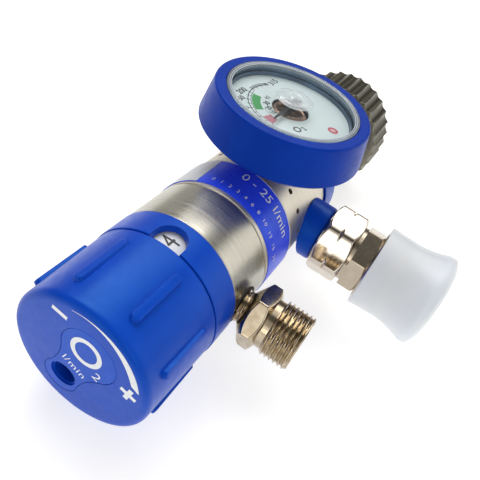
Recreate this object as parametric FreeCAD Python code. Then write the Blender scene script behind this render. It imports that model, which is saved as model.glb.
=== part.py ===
import FreeCAD, Part
import math
import os
from FreeCAD import Placement, Rotation, Vector

os.makedirs("parts", exist_ok=True)

# Oxygen regulator for a gas cylinder: a click flow selector in front, a contents
# gauge on top, a flow outlet and a quick coupling on one side, and a handwheel
# nut behind that joins it to the cylinder valve.
#
# Millimetres. +Y runs along the main axis towards the cylinder valve, +Z up
# through the gauge, +X along both outlets. The origin is the centre of the
# inlet's sealing face. Stations along the main axis are counted from the seam
# behind the knob, positive towards the valve, and angles round the main axis
# are counted from the top towards the outlets.

# Outside radius of the round housing; the knob, the collar and the body follow it
HOUSING_R = 20.1

# Main axis stations
SEAM_TO_SEAL = 130.5       # knob seam to the sealing face
PARTING = 26.6             # front housing ends and the main body starts
BODY_STEP = 43.4           # the main body steps down behind its label
BODY_END = 71.0
GAUGE_AT = 56.4
FLOW_OUTLET_AT = 15.6
COUPLING_AT = 61.3

# Running and seating clearances
FIT = 0.05                 # pieces that are pressed or screwed together
RUN = 0.10                 # pieces that turn or slide in one another
GAP = 0.30                 # faces of moving pieces that pass each other

# Flow selector knob
KNOB_LEN = 26.6
KNOB_REAR_R = HOUSING_R - 0.1
KNOB_FRONT_R = KNOB_REAR_R - 0.5
KNOB_ROUND = 4.4
KNOB_WALL = 2.1
KNOB_FACE_T = 3.0
RIB_COUNT = 8
RIB_TURN = 22.5
RIB_TOP_R = KNOB_REAR_R + 0.7
RIB_ROOT_R = RIB_TOP_R - 4.7
RIB_EDGE = 0.6
RIB_W = 2.7
RIB_FRONT = 21.8           # distance of the rib's nose in front of the seam
RIB_REAR = 4.2
MARK_AXIS = 24.0           # direction of the face plate, from the top
EYE_R = 3.2                # blind eye in the knob's face
EYE_OUT = 8.6
EYE_DEPTH = 6.0
PLATE_T = 0.6
PLATE_BIG_R = 7.7
PLATE_BIG_UP = 6.0
PLATE_SMALL_R = 4.9
PLATE_SMALL_UP = -10.2
PLATE_WAIST = 4.5
PLATE_WAIST_UP = -3.8
SCREW_R = 1.5
SCREW_HEAD_R = 2.8
SCREW_HEAD_DEEP = 2.4      # seat of the screw's head below the knob's face
SCREW_LEN = 9.0

# Selector works
SPINDLE_R = 3.0
HUB_R = 7.5
HUB_END = 0.9              # the hub stops short of the housing
DRUM_T = 1.5
DRUM_FRONT = 3.2
DRUM_LEN = 10.7
DRUM_WEB_T = 2.6
DIMPLES = 12
DIMPLE_OUT = 11.5
BALL_R = 1.5
DISC_R = HOUSING_R - 7.5
DISC_AT = 13.3
DISC_T = 2.4
DISC_SQUARE = 4.4
FLOW_STEPS = 11
METER_R_MIN = 0.15
METER_R_STEP = 0.07
METER_OUT = 9.5
SEAT_PLATE_T = 2.6

# Front housing and its window collar
HOUSING_FRONT = 1.5
SPIGOT_R = HOUSING_R - 4.1
CHAMBER_R = HOUSING_R - 4.9
CHAMBER_AT = 12.0
COLLAR_LEN = 9.6
COLLAR_R = HOUSING_R + 0.15
COLLAR_WALL = 1.9
COLLAR_WEB_T = 1.7
SEAM_GAP = 0.3
WINDOW_HALF = 4.1
WINDOW_LEN = 6.8
WINDOW_FLARE = 0.7         # the window widens by this much towards the outside
WINDOW_SHIFT = -0.2        # it stands a little to the left of the top

# Main body, its label and its guard ring
STEP_R = HOUSING_R - 0.5
PISTON_BORE_R = STEP_R - 6.6
SPRING_SEAT_AT = 52.0
GUIDE_R = 4.0
GUIDE_BOSS_R = 6.2
GUIDE_BOSS_AT = 45.0
HP_BORE_R = 6.0
HP_BORE_AT = 53.6
GUARD_SPIGOT_R = STEP_R - 4.6
GUARD_SPIGOT_LEN = 8.0
LABEL_AT = 28.2
LABEL_LEN = 14.4
LABEL_T = 0.2
VENT_COUNT = 18
VENT_TURN = 16.0
VENT_R = 0.95
VENT_AT = 50.4
GUARD_LEN = 9.5
GUARD_R = HOUSING_R + 0.2
GUARD_WEB_T = 1.5

# Piston
PISTON_AT = 28.5
PISTON_HEAD_T = 6.0
PISTON_LIFT = 0.5
O_RING_W = 0.95
PISTON_WIRE_R = 1.2
PISTON_COIL_R = PISTON_BORE_R - 3.4
PISTON_COILS = 5
NOZZLE_LEN = 3.6

# Inlet stem and handwheel
STEM_R = 8.5
STEM_NECK_R = 10.0
STEM_ROOT_LEN = 12.0
STEM_HEX = 22.0
STEM_FLANGE_R = 11.3
STEM_FLANGE_T = 2.7
STEM_NOSE_R = 8.0
SEAL_R = STEM_NOSE_R - 1.6
CLIP_SEAT_R = STEM_R - 0.7
STEM_BORE_R = 2.5
SEAL_T = 1.0
FILTER_R = 4.0
FILTER_LEN = 7.0
THREAD_MINOR_R = 12.06     # G 3/4 inside thread, minor diameter 24.12
WHEEL_R = 22.0
WHEEL_LEN = 17.5
WHEEL_REACH = 8.0          # mouth of the handwheel beyond the sealing face
WHEEL_TEETH = 30
TOOTH_DEPTH = 1.35
WHEEL_HUB_R = 13.4
WHEEL_HUB_LEN = 11.0
WHEEL_CHAMFER = 1.1
WHEEL_WALL_T = 3.6
CLIP_T = 0.8

# Gauge
BUMPER_BASE = STEP_R + 7.7
BUMPER_TOP = BUMPER_BASE + 12.5
CASE_R = 20.2
BUMPER_BASE_R = CASE_R + 5.4
BUMPER_TOP_R = CASE_R + 3.4
BUMPER_FLOOR_T = 2.0
BUMPER_EDGE = 1.2
BUMPER_HOLE_R = 8.0
CASE_WALL = 1.1
CASE_TOP = BUMPER_TOP - 1.2
DIAL_R = CASE_R - 1.6
DIAL_AT = CASE_TOP - 1.6
DIAL_T = 0.4
DIAL_LEDGE_T = 2.0
DIAL_WINDOW_R = 6.4
LENS_RIM = 1.5
LENS_TOP = BUMPER_TOP + 0.15
LENS_PANE_T = 0.9
LENS_BOSS_R = 5.2
LENS_BOSS_H = 0.9
POINTER_LEN = 11.9
POINTER_TAIL = 4.4
POINTER_HUB_R = 1.7
POINTER_T = 0.35
POINTER_SHAFT_R = 0.5
GAUGE_SEAT_OUT = STEP_R - 0.6    # flat on the body under the gauge's hexagon
GAUGE_THREAD_R = 4.8
GAUGE_THREAD_LEN = 7.5
GAUGE_PORT_LEN = 8.0
GAUGE_WAY_R = 1.2
GAUGE_HEX = 14.0
GAUGE_BLOCK_R = 6.0
GAUGE_BLOCK_LEN = 2.6
TUBE_R = 0.95
TUBE_COIL_R = 4.6
TUBE_COILS = 2

# Flow outlet: G 3/8 outside thread, 16.66 across
FLOW_THREAD_R = 8.33
FLOW_THREAD_LEN = 8.0
FLOW_THREAD_CHAMFER = 0.6
FLOW_NECK_R = 5.0
FLOW_SPOT_OUT = HOUSING_R - 1.7
FLOW_SPOT_R = 5.9
FLOW_HEX = 17.0
FLOW_HEX_OUT = HOUSING_R + 4.4   # the hexagon's corner edges start here
FLOW_HEX_LEN = 2.6               # length of the corner edges
FLOW_HEX_CONE = 33.0
FLOW_HEX_TURN = 22.0
FLOW_HEX_FRONT_R = 7.8
FLOW_COLLAR_R = 7.2
FLOW_COLLAR_LEN = 2.0
FLOW_BORE_R = 2.6
FLOW_CONE_R = 5.2
FLOW_CONE_LEN = 3.0
FLOW_SEAL_T = 1.3

# Quick coupling and its cap
PORT_RING_R = 9.7
PORT_RING_OUT = STEP_R + 5.8     # outer face of the blue ring, from the main axis
PORT_RING_BACK = STEP_R + 0.2    # its sloping back, where it crosses the outlet's axis
PORT_RING_SLOPE = 14.0
LOCK_HEX = 22.0
LOCK_CORNER_R = 12.25
LOCK_OUT = PORT_RING_OUT + 0.5
LOCK_LEN = 10.4
LOCK_TURN = 38.4
NOTCH_W = 1.0
NOTCH_R = LOCK_CORNER_R - 0.65
SLEEVE_R = 7.0
PORT_R = 6.5
PORT_DEPTH_OUT = STEP_R - 8.6
PORT_WAY_R = 1.6
GROOVE_R = 9.6
GROOVE_LEN = 1.2
COUPLING_HEX = 20.0
COUPLING_HEX_LEN = 5.8
COUPLING_TURN = 2.6
SOCKET_R = 11.8
SOCKET_LEN = 14.6
SOCKET_BORE_R = 6.0
VALVE_SEAT_T = 1.2
VALVE_CHAMBER_R = 5.0
VALVE_CHAMBER_LEN = 13.0
VALVE_HEAD_R = 4.6
VALVE_HEAD_T = 2.6
VALVE_NOSE_R = 2.6
VALVE_NOSE_LEN = 5.4
VALVE_TAIL_R = 1.8
VALVE_TAIL_LEN = 2.0
VALVE_LIFT = 0.6
VALVE_WIRE_R = 0.45
VALVE_COIL_R = 3.4
VALVE_COILS = 5
CAP_MOUTH_R = 14.1
CAP_WAIST_R = 13.6
CAP_FLARE_R = 15.8
CAP_LEN = 22.8
CAP_END_T = 3.4
CAP_END_ROUND = 2.4

# Stations that follow from the sizes above
SCREW_HEAD_SEAT = -KNOB_LEN + SCREW_HEAD_DEEP
SEAT_PLATE_AT = DISC_AT + DISC_T + GAP
WHEEL_END = SEAM_TO_SEAL + WHEEL_REACH
WHEEL_FRONT = WHEEL_END - WHEEL_LEN
WHEEL_WALL_END = WHEEL_FRONT + WHEEL_WALL_T
HUB_FRONT = WHEEL_FRONT - WHEEL_HUB_LEN
STEM_SHOULDER = BODY_END + GUARD_SPIGOT_LEN + FIT
FLANGE_AT = WHEEL_WALL_END + GAP
CLIP_AT = HUB_FRONT - GAP - CLIP_T
CASE_FLOOR = BUMPER_BASE + BUMPER_FLOOR_T + FIT
BLOCK_TOP = CASE_FLOOR + GAUGE_BLOCK_LEN
FLOW_HEX_END = FLOW_HEX_OUT + FLOW_HEX_LEN
LOCK_END = LOCK_OUT + LOCK_LEN
HEX_AT = LOCK_END + FIT + GROOVE_LEN
HEX_END = HEX_AT + COUPLING_HEX_LEN
SOCKET_END = HEX_END + SOCKET_LEN
SEAT_AT = HEX_END + FIT
VALVE_CHAMBER_AT = SEAT_AT - VALVE_CHAMBER_LEN


def placed_along_main():
    """Stations become +Y: 0 at the knob seam."""
    return Placement(Vector(0, -SEAM_TO_SEAL, 0), Rotation(Vector(1, 0, 0), -90))


def placed_along_outlet(station):
    """Heights become +X, counted from the main axis."""
    return Placement(Vector(0, station - SEAM_TO_SEAL, 0), Rotation(Vector(0, 1, 0), 90))


def placed_up_gauge():
    """Heights stay +Z, counted from the main axis."""
    return Placement(Vector(0, GAUGE_AT - SEAM_TO_SEAL, 0), Rotation())


def lathe(start, *steps):
    """Solid turned about Z from (height, radius) points.

    A step is one point for a straight line, or two for an arc through the first.
    """
    def spot(point):
        return Vector(point[1], 0, point[0])

    edges = []
    here = start
    for step in steps + (start,):
        if isinstance(step[0], tuple):
            edges.append(Part.Arc(spot(here), spot(step[0]), spot(step[1])).toShape())
            here = step[1]
        elif math.dist(step, here) > 0.001:
            edges.append(Part.makeLine(spot(here), spot(step)))
            here = step
    face = Part.Face(Part.Wire(edges))
    return face.revolve(Vector(0, 0, 0), Vector(0, 0, 1), 360)


def rod(low, high, radius):
    """Round bar about Z between two heights."""
    return Part.makeCylinder(radius, high - low, Vector(0, 0, low))


def tube(low, high, inner, outer):
    """Ring about Z between two heights."""
    return rod(low, high, outer).cut(rod(low - 1, high + 1, inner))


def o_ring(height, bore):
    """Round rubber ring about Z that rests at a bore radius."""
    return Part.makeTorus(bore + O_RING_W, O_RING_W, Vector(0, 0, height))


def hex_bar(low, high, flats, turn):
    """Hexagonal bar about Z, with a corner at the angle turn."""
    corner = flats / math.sqrt(3)
    points = []
    for index in range(7):
        angle = math.radians(turn + 60 * index)
        points.append(Vector(corner * math.cos(angle), corner * math.sin(angle), low))
    face = Part.Face(Part.makePolygon(points))
    return face.extrude(Vector(0, 0, high - low))


def hex_nut(low, high, flats, turn, both_ends=True):
    """Hexagonal bar whose corners are turned off at 30 degrees."""
    corner = flats / math.sqrt(3)
    face_r = flats / 2 * 0.97
    drop = (corner - face_r) * math.tan(math.radians(30))
    low_r = face_r if both_ends else corner
    low_drop = drop if both_ends else 0.01
    blank = lathe(
        (low, 0), (low, low_r), (low + low_drop, corner), (high - drop, corner), (high, face_r), (high, 0))
    return hex_bar(low, high, flats, turn).common(blank)


def coil(low, high, radius, wire, turns):
    """Coil spring about Z between two heights."""
    rise = high - low - 2 * wire
    helix = Part.makeHelix(rise / turns, rise, radius)
    section = Part.Wire(Part.makeCircle(wire, Vector(radius, 0, 0), Vector(0, 1, 0)))
    body = Part.Wire(helix).makePipeShell([section], True, True)
    body.translate(Vector(0, 0, low + wire))
    return body


def round_about(shape, count, turn=0.0):
    """Copies of a shape, spread evenly about Z."""
    copies = []
    for index in range(count):
        copy = shape.copy()
        copy.rotate(Vector(0, 0, 0), Vector(0, 0, 1), turn + 360.0 * index / count)
        copies.append(copy)
    return Part.makeCompound(copies)


def from_top(angle):
    """Turn about the stations' axis for an angle counted from the top."""
    return angle - 90


def side_hole(angle, station, inner, outer, radius):
    """Cutter for a round hole across the main axis, between two distances from it."""
    cutter = Part.makeCylinder(radius, outer - inner, Vector(inner, 0, station), Vector(1, 0, 0))
    cutter.rotate(Vector(0, 0, 0), Vector(0, 0, 1), from_top(angle))
    return cutter


# Knob and what turns with it


def rib_blank():
    """One grip rib lying along the knob, at the angle zero."""
    half = RIB_W / 2
    nose = -RIB_FRONT + half
    tail = -RIB_REAR - half
    height = RIB_TOP_R - RIB_ROOT_R
    bar = Part.makeBox(height, RIB_W, tail - nose, Vector(RIB_ROOT_R, -half, nose))
    for end in (nose, tail):
        bar = bar.fuse(Part.makeCylinder(half, height, Vector(RIB_ROOT_R, 0, end), Vector(1, 0, 0)))
    bar = bar.removeSplitter()
    top = [edge for edge in bar.Edges if edge.BoundBox.XMin > RIB_TOP_R - 0.01]
    return bar.makeFillet(RIB_EDGE, top)


def plate_outline(height, grow=0.0):
    """Face plate's outline as a face: a large and a small round with a waist."""
    big = PLATE_BIG_R + grow
    small = PLATE_SMALL_R + grow
    waist = PLATE_WAIST + grow
    spread = math.radians(35)
    big_x = big * math.cos(spread)
    big_y = PLATE_BIG_UP - big * math.sin(spread)
    small_x = small * math.cos(spread / 2)
    small_y = PLATE_SMALL_UP + small * math.sin(spread / 2)
    edges = []
    loop = [
        ((big_x, big_y), (0, PLATE_BIG_UP + big), (-big_x, big_y)),
        ((-big_x, big_y), (-waist, PLATE_WAIST_UP), (-small_x, small_y)),
        ((-small_x, small_y), (0, PLATE_SMALL_UP - small), (small_x, small_y)),
        ((small_x, small_y), (waist, PLATE_WAIST_UP), (big_x, big_y)),
    ]
    for arc in loop:
        corners = [Vector(x, y, height) for x, y in arc]
        edges.append(Part.Arc(*corners).toShape())
    face = Part.Face(Part.Wire(edges))
    # the face is looked at from the front, so its up direction points to MARK_AXIS
    face.rotate(Vector(0, 0, 0), Vector(0, 0, 1), from_top(MARK_AXIS) - 90)
    return face


def eye_blank(radius, depth):
    """Blind eye in the knob's face, on the plate's axis."""
    angle = math.radians(from_top(MARK_AXIS + 180))
    centre = Vector(EYE_OUT * math.cos(angle), EYE_OUT * math.sin(angle), -KNOB_LEN - 0.5)
    return Part.makeCylinder(radius, depth + 0.5, centre)


def knob():
    shoulder = KNOB_LEN - KNOB_ROUND
    slope = KNOB_ROUND * math.sin(math.radians(45))
    arc_mid = (-shoulder - slope, KNOB_FRONT_R - KNOB_ROUND + slope)
    arc_end = (-KNOB_LEN, KNOB_FRONT_R - KNOB_ROUND)
    outside = lathe(
        (0, 0), (0, KNOB_REAR_R), (-shoulder, KNOB_FRONT_R), (arc_mid, arc_end), (-KNOB_LEN, 0))
    ribs = round_about(rib_blank(), RIB_COUNT, from_top(RIB_TURN))
    body = outside.fuse(ribs.Solids)
    inner_r = KNOB_REAR_R - KNOB_WALL
    floor = -KNOB_LEN + KNOB_FACE_T
    drum_seat = -DRUM_FRONT - FIT
    cavity = lathe(
        (1, 0), (1, inner_r), (drum_seat, inner_r), (drum_seat, inner_r - 0.5), (-shoulder, inner_r - 1.2),
        (floor, inner_r - 3.5), (floor, 0))
    cavity = cavity.cut(rod(floor - 1, -HUB_END, HUB_R))
    cavity = cavity.cut(eye_blank(EYE_R + 1.8, EYE_DEPTH + 1.8))
    body = body.cut(cavity)
    body = body.cut(rod(-KNOB_LEN + KNOB_FACE_T + 1.5, 0, SPINDLE_R + FIT))
    body = body.cut(rod(-KNOB_LEN - 1, -HUB_END, SCREW_R + RUN))
    body = body.cut(rod(-KNOB_LEN - 1, SCREW_HEAD_SEAT, SCREW_HEAD_R + RUN))
    body = body.cut(plate_outline(-KNOB_LEN - 0.5, FIT).extrude(Vector(0, 0, 0.5 + PLATE_T)))
    return body.cut(eye_blank(EYE_R, EYE_DEPTH))


def face_plate():
    plate = plate_outline(-KNOB_LEN).extrude(Vector(0, 0, PLATE_T - FIT))
    return plate.cut(eye_blank(EYE_R + FIT, EYE_DEPTH))


def knob_screw():
    head = rod(-KNOB_LEN + PLATE_T, SCREW_HEAD_SEAT - FIT, SCREW_HEAD_R)
    slot = Part.makeBox(2 * SCREW_HEAD_R, 0.8, 0.6, Vector(-SCREW_HEAD_R, -0.4, -KNOB_LEN + PLATE_T))
    shank = rod(SCREW_HEAD_SEAT - 0.5, SCREW_HEAD_SEAT + SCREW_LEN, SCREW_R)
    return head.cut(slot).fuse(shank)


def spindle():
    front = -KNOB_LEN + KNOB_FACE_T + 1.5 + FIT
    collar_end = DISC_AT - FIT
    half = DISC_SQUARE / 2 - FIT
    drive = Part.makeBox(2 * half, 2 * half, DISC_T + 0.6, Vector(-half, -half, collar_end - 0.3))
    shaft = rod(front, collar_end, SPINDLE_R)
    shaft = shaft.fuse(rod(CHAMBER_AT + RUN, collar_end, SPINDLE_R + 1.4)).fuse(drive)
    return shaft.cut(rod(front - 1, SCREW_HEAD_SEAT + SCREW_LEN + 1, SCREW_R + FIT))


def number_drum():
    """Ring that carries the flow numbers, with a web of click dimples inside."""
    outer = KNOB_REAR_R - KNOB_WALL - FIT
    drum = tube(-DRUM_FRONT, DRUM_LEN - DRUM_FRONT, outer - DRUM_T, outer)
    web = tube(-DRUM_FRONT, -DRUM_FRONT + DRUM_WEB_T, HUB_R + FIT, outer - 0.5)
    sink = Part.makeSphere(BALL_R + RUN, Vector(DIMPLE_OUT, 0, -DRUM_FRONT + DRUM_WEB_T + BALL_R - 0.5))
    dimples = round_about(sink, DIMPLES, from_top(180))
    return drum.fuse(web).cut(dimples)


def orifice_disc():
    """Disc of metering holes, one for each flow and one blank place for off."""
    disc = rod(DISC_AT, DISC_AT + DISC_T, DISC_R)
    half = DISC_SQUARE / 2
    disc = disc.cut(Part.makeBox(2 * half, 2 * half, DISC_T + 2, Vector(-half, -half, DISC_AT - 1)))
    for index in range(1, FLOW_STEPS):
        angle = math.radians(from_top(90 + 360.0 * index / DIMPLES))
        centre = Vector(METER_OUT * math.cos(angle), METER_OUT * math.sin(angle), DISC_AT - 1)
        hole = Part.makeCylinder(METER_R_MIN + METER_R_STEP * index, DISC_T + 2, centre)
        disc = disc.cut(hole)
    return disc


# Front housing and what it holds


def window_wire(grow, height):
    """Arched window outline on a plane above the collar."""
    half = WINDOW_HALF + grow
    top = WINDOW_LEN + grow / 2
    straight = top - half
    middle = WINDOW_SHIFT
    start = Vector(middle + half, -height, -2)
    right = Vector(middle + half, -height, straight)
    crown = Vector(middle, -height, top)
    left = Vector(middle - half, -height, straight)
    end = Vector(middle - half, -height, -2)
    edges = [
        Part.makeLine(start, right),
        Part.Arc(right, crown, left).toShape(),
        Part.makeLine(left, end),
        Part.makeLine(end, start),
    ]
    return Part.Wire(edges)


def window_collar():
    inner = COLLAR_R - COLLAR_WALL
    web_at = COLLAR_LEN - COLLAR_WEB_T
    ring = lathe(
        (SEAM_GAP, inner), (SEAM_GAP, COLLAR_R - 0.3), (SEAM_GAP + 0.3, COLLAR_R),
        (COLLAR_LEN - 0.5, COLLAR_R), (COLLAR_LEN - FIT, COLLAR_R - 0.4), (COLLAR_LEN - FIT, SPIGOT_R + FIT),
        (web_at, SPIGOT_R + FIT), (web_at, inner))
    low = inner - 0.5
    window = Part.makeLoft([window_wire(0, low), window_wire(WINDOW_FLARE, COLLAR_R + 0.4)], True)
    return ring.cut(window)


def front_housing():
    body = lathe(
        (HOUSING_FRONT, 0), (HOUSING_FRONT, SPIGOT_R - 0.5), (HOUSING_FRONT + 0.5, SPIGOT_R),
        (COLLAR_LEN, SPIGOT_R), (COLLAR_LEN, HOUSING_R), (PARTING - 0.35, HOUSING_R),
        (PARTING - FIT, HOUSING_R - 0.3), (PARTING - FIT, CHAMBER_R), (CHAMBER_AT, CHAMBER_R), (CHAMBER_AT, 0))
    body = body.cut(rod(0, CHAMBER_AT + 1, SPINDLE_R + RUN / 2))
    seal_room = tube(5.0, 5.0 + 2 * O_RING_W + FIT, SPINDLE_R, SPINDLE_R + RUN / 2 + 2 * O_RING_W)
    body = body.cut(seal_room)
    body = body.cut(ball_pocket())
    body = body.cut(side_hole(90, FLOW_OUTLET_AT, CHAMBER_R - 1, HOUSING_R + 1, FLOW_NECK_R + FIT))
    return body.cut(side_hole(90, FLOW_OUTLET_AT, FLOW_SPOT_OUT, HOUSING_R + 1, FLOW_SPOT_R))


def ball_pocket():
    angle = math.radians(from_top(180))
    centre = Vector(DIMPLE_OUT * math.cos(angle), DIMPLE_OUT * math.sin(angle), HOUSING_FRONT - 1)
    return Part.makeCylinder(BALL_R + FIT, 8, centre)


def ball_middle():
    """Height of the click ball, just clear of the drum's web."""
    return -DRUM_FRONT + DRUM_WEB_T + GAP + BALL_R


def click_ball():
    angle = math.radians(from_top(180))
    centre = Vector(DIMPLE_OUT * math.cos(angle), DIMPLE_OUT * math.sin(angle), ball_middle())
    return Part.makeSphere(BALL_R, centre)


def click_spring():
    angle = math.radians(from_top(180))
    spring = coil(ball_middle() + BALL_R + FIT, HOUSING_FRONT + 7 - FIT, 1.0, 0.25, 5)
    spring.translate(Vector(DIMPLE_OUT * math.cos(angle), DIMPLE_OUT * math.sin(angle), 0))
    return spring


def spindle_seal():
    return o_ring(5.0 + O_RING_W + FIT / 2, SPINDLE_R + RUN / 2)


def seat_plate():
    """Fixed plate behind the orifice disc, with one passage in line with the flow outlet."""
    plate = rod(SEAT_PLATE_AT, SEAT_PLATE_AT + SEAT_PLATE_T, CHAMBER_R - FIT)
    passage = Part.makeCylinder(1.4, SEAT_PLATE_T + 2, Vector(METER_OUT, 0, SEAT_PLATE_AT - 1))
    passage.rotate(Vector(0, 0, 0), Vector(0, 0, 1), from_top(90))
    return plate.cut(passage)


# Main body and what it holds


def main_body():
    spigot_r = CHAMBER_R - FIT
    front = SEAT_PLATE_AT + SEAT_PLATE_T + FIT
    slope = HOUSING_R - STEP_R
    body = lathe(
        (front, PISTON_BORE_R), (front, spigot_r), (PARTING, spigot_r), (PARTING, HOUSING_R - 0.3),
        (PARTING + 0.3, HOUSING_R), (BODY_STEP, HOUSING_R), (BODY_STEP + slope, STEP_R),
        (BODY_END - 0.5, STEP_R), (BODY_END, STEP_R - 0.5), (BODY_END, GUARD_SPIGOT_R),
        (BODY_END + GUARD_SPIGOT_LEN, GUARD_SPIGOT_R), (BODY_END + GUARD_SPIGOT_LEN, HP_BORE_R),
        (HP_BORE_AT, HP_BORE_R), (HP_BORE_AT, GUIDE_R + RUN), (GUIDE_BOSS_AT, GUIDE_R + RUN),
        (GUIDE_BOSS_AT, GUIDE_BOSS_R), (SPRING_SEAT_AT, GUIDE_BOSS_R), (SPRING_SEAT_AT, PISTON_BORE_R))
    outside = HOUSING_R + 1
    inside = PISTON_BORE_R - 1
    vent = Part.makeCylinder(VENT_R, outside - inside, Vector(inside, 0, VENT_AT), Vector(1, 0, 0))
    body = body.cut(round_about(vent, VENT_COUNT, from_top(VENT_TURN)))
    gauge_floor = GAUGE_SEAT_OUT - GAUGE_PORT_LEN
    body = body.cut(side_hole(0, GAUGE_AT, gauge_floor, outside, GAUGE_THREAD_R + FIT))
    body = body.cut(side_hole(0, GAUGE_AT, HP_BORE_R / 2, gauge_floor + 1, GAUGE_WAY_R))
    body = body.cut(side_hole(0, GAUGE_AT, GAUGE_SEAT_OUT, outside, GAUGE_HEX / math.sqrt(3) + GAP))
    body = body.cut(side_hole(90, COUPLING_AT, PORT_DEPTH_OUT, outside, PORT_R + FIT))
    return body.cut(side_hole(90, COUPLING_AT, HP_BORE_R / 2, PORT_DEPTH_OUT + 1, PORT_WAY_R))


def body_label():
    return tube(LABEL_AT, LABEL_AT + LABEL_LEN, HOUSING_R + 0.01, HOUSING_R + LABEL_T)


def piston():
    head_end = PISTON_AT + PISTON_HEAD_T
    tip = HP_BORE_AT - FIT - PISTON_LIFT - GAP
    groove = PISTON_AT + PISTON_HEAD_T / 2
    head_r = PISTON_BORE_R - RUN
    groove_r = head_r - 2 * O_RING_W
    side = O_RING_W + FIT
    body = lathe(
        (PISTON_AT, 0), (PISTON_AT, head_r - 0.4), (PISTON_AT + 0.4, head_r), (groove - side, head_r),
        (groove - side, groove_r), (groove + side, groove_r), (groove + side, head_r),
        (head_end, head_r), (head_end, GUIDE_R), (tip, GUIDE_R), (tip, 0))
    return body.cut(rod(PISTON_AT - 1, tip - 3, 1.2))


def piston_seal():
    return o_ring(PISTON_AT + PISTON_HEAD_T / 2, PISTON_BORE_R - RUN - 2 * O_RING_W + FIT / 2)


def piston_spring():
    low = PISTON_AT + PISTON_HEAD_T + PISTON_LIFT + FIT
    return coil(low, SPRING_SEAT_AT - FIT, PISTON_COIL_R, PISTON_WIRE_R, PISTON_COILS)


def inlet_nozzle():
    """Seat of the piston, with a groove round it that feeds the gauge."""
    low = HP_BORE_AT + FIT
    nozzle = lathe(
        (low, 1.0), (low, 1.8), (low + 0.8, 2.4), (low + 0.8, HP_BORE_R - FIT),
        (low + NOZZLE_LEN, HP_BORE_R - FIT), (low + NOZZLE_LEN, 1.0))
    return nozzle.cut(tube(GAUGE_AT - GAUGE_WAY_R, GAUGE_AT + GAUGE_WAY_R, HP_BORE_R / 2, HP_BORE_R + 1))


def guard_ring():
    low = BODY_END + FIT
    high = BODY_END + GUARD_LEN
    web = high - GUARD_WEB_T
    return lathe(
        (low, GUARD_SPIGOT_R + FIT), (low, GUARD_R - 0.4), (low + 0.4, GUARD_R), (high - 1.5, GUARD_R),
        ((high - 0.44, GUARD_R - 0.44), (high, GUARD_R - 1.5)), (high, STEM_HEX / 2 + 1.2),
        (web, STEM_HEX / 2 + 1.2), (web, GUARD_SPIGOT_R + FIT))


# Inlet stem and handwheel


def inlet_stem():
    hex_at = STEM_SHOULDER + 2.0
    hex_end = hex_at + 7.0
    nose = SEAM_TO_SEAL - SEAL_T / 2
    root = STEM_SHOULDER - STEM_ROOT_LEN
    shoulder_r = STEM_HEX / 2 + 0.9
    clip_end = CLIP_AT + CLIP_T
    flange_end = FLANGE_AT + STEM_FLANGE_T
    body = lathe(
        (root, 0), (root, HP_BORE_R - FIT), (STEM_SHOULDER, HP_BORE_R - FIT), (STEM_SHOULDER, shoulder_r),
        (hex_at, shoulder_r), (hex_at, STEM_NECK_R), (CLIP_AT - 8, STEM_NECK_R), (CLIP_AT - 5, STEM_R),
        (CLIP_AT - FIT, STEM_R), (CLIP_AT - FIT, CLIP_SEAT_R),
        (clip_end + FIT, CLIP_SEAT_R), (clip_end + FIT, STEM_R),
        (FLANGE_AT, STEM_R), (FLANGE_AT, STEM_FLANGE_R), (flange_end, STEM_FLANGE_R), (flange_end, STEM_NOSE_R),
        (nose - 0.5, STEM_NOSE_R), (nose, STEM_NOSE_R - 0.5), (nose, 0))
    body = body.fuse(hex_nut(hex_at, hex_end, STEM_HEX, 0))
    body = body.cut(rod(root - 1, nose + 1, STEM_BORE_R))
    body = body.cut(rod(nose - FILTER_LEN - SEAL_T, nose + 1, FILTER_R + FIT))
    return body.cut(tube(nose - SEAL_T / 2, nose + 1, FILTER_R, SEAL_R))


def inlet_filter():
    end = SEAM_TO_SEAL - SEAL_T
    low = end - FILTER_LEN
    return lathe((low, 0), (low, FILTER_R - 0.4), (low + 0.4, FILTER_R), (end, FILTER_R), (end, 0))


def inlet_seal():
    low = SEAM_TO_SEAL - SEAL_T + FIT
    return tube(low, SEAM_TO_SEAL, FILTER_R + FIT, SEAL_R - FIT)


def wheel_clip():
    """Open spring ring that keeps the handwheel from sliding forward."""
    ring = tube(CLIP_AT, CLIP_AT + CLIP_T, CLIP_SEAT_R + FIT, STEM_R + 1.6)
    mouth = Part.makeBox(12, 4.0, 4, Vector(0, -2.0, CLIP_AT - 1))
    mouth.rotate(Vector(0, 0, 0), Vector(0, 0, 1), from_top(180))
    return ring.cut(mouth)


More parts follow.
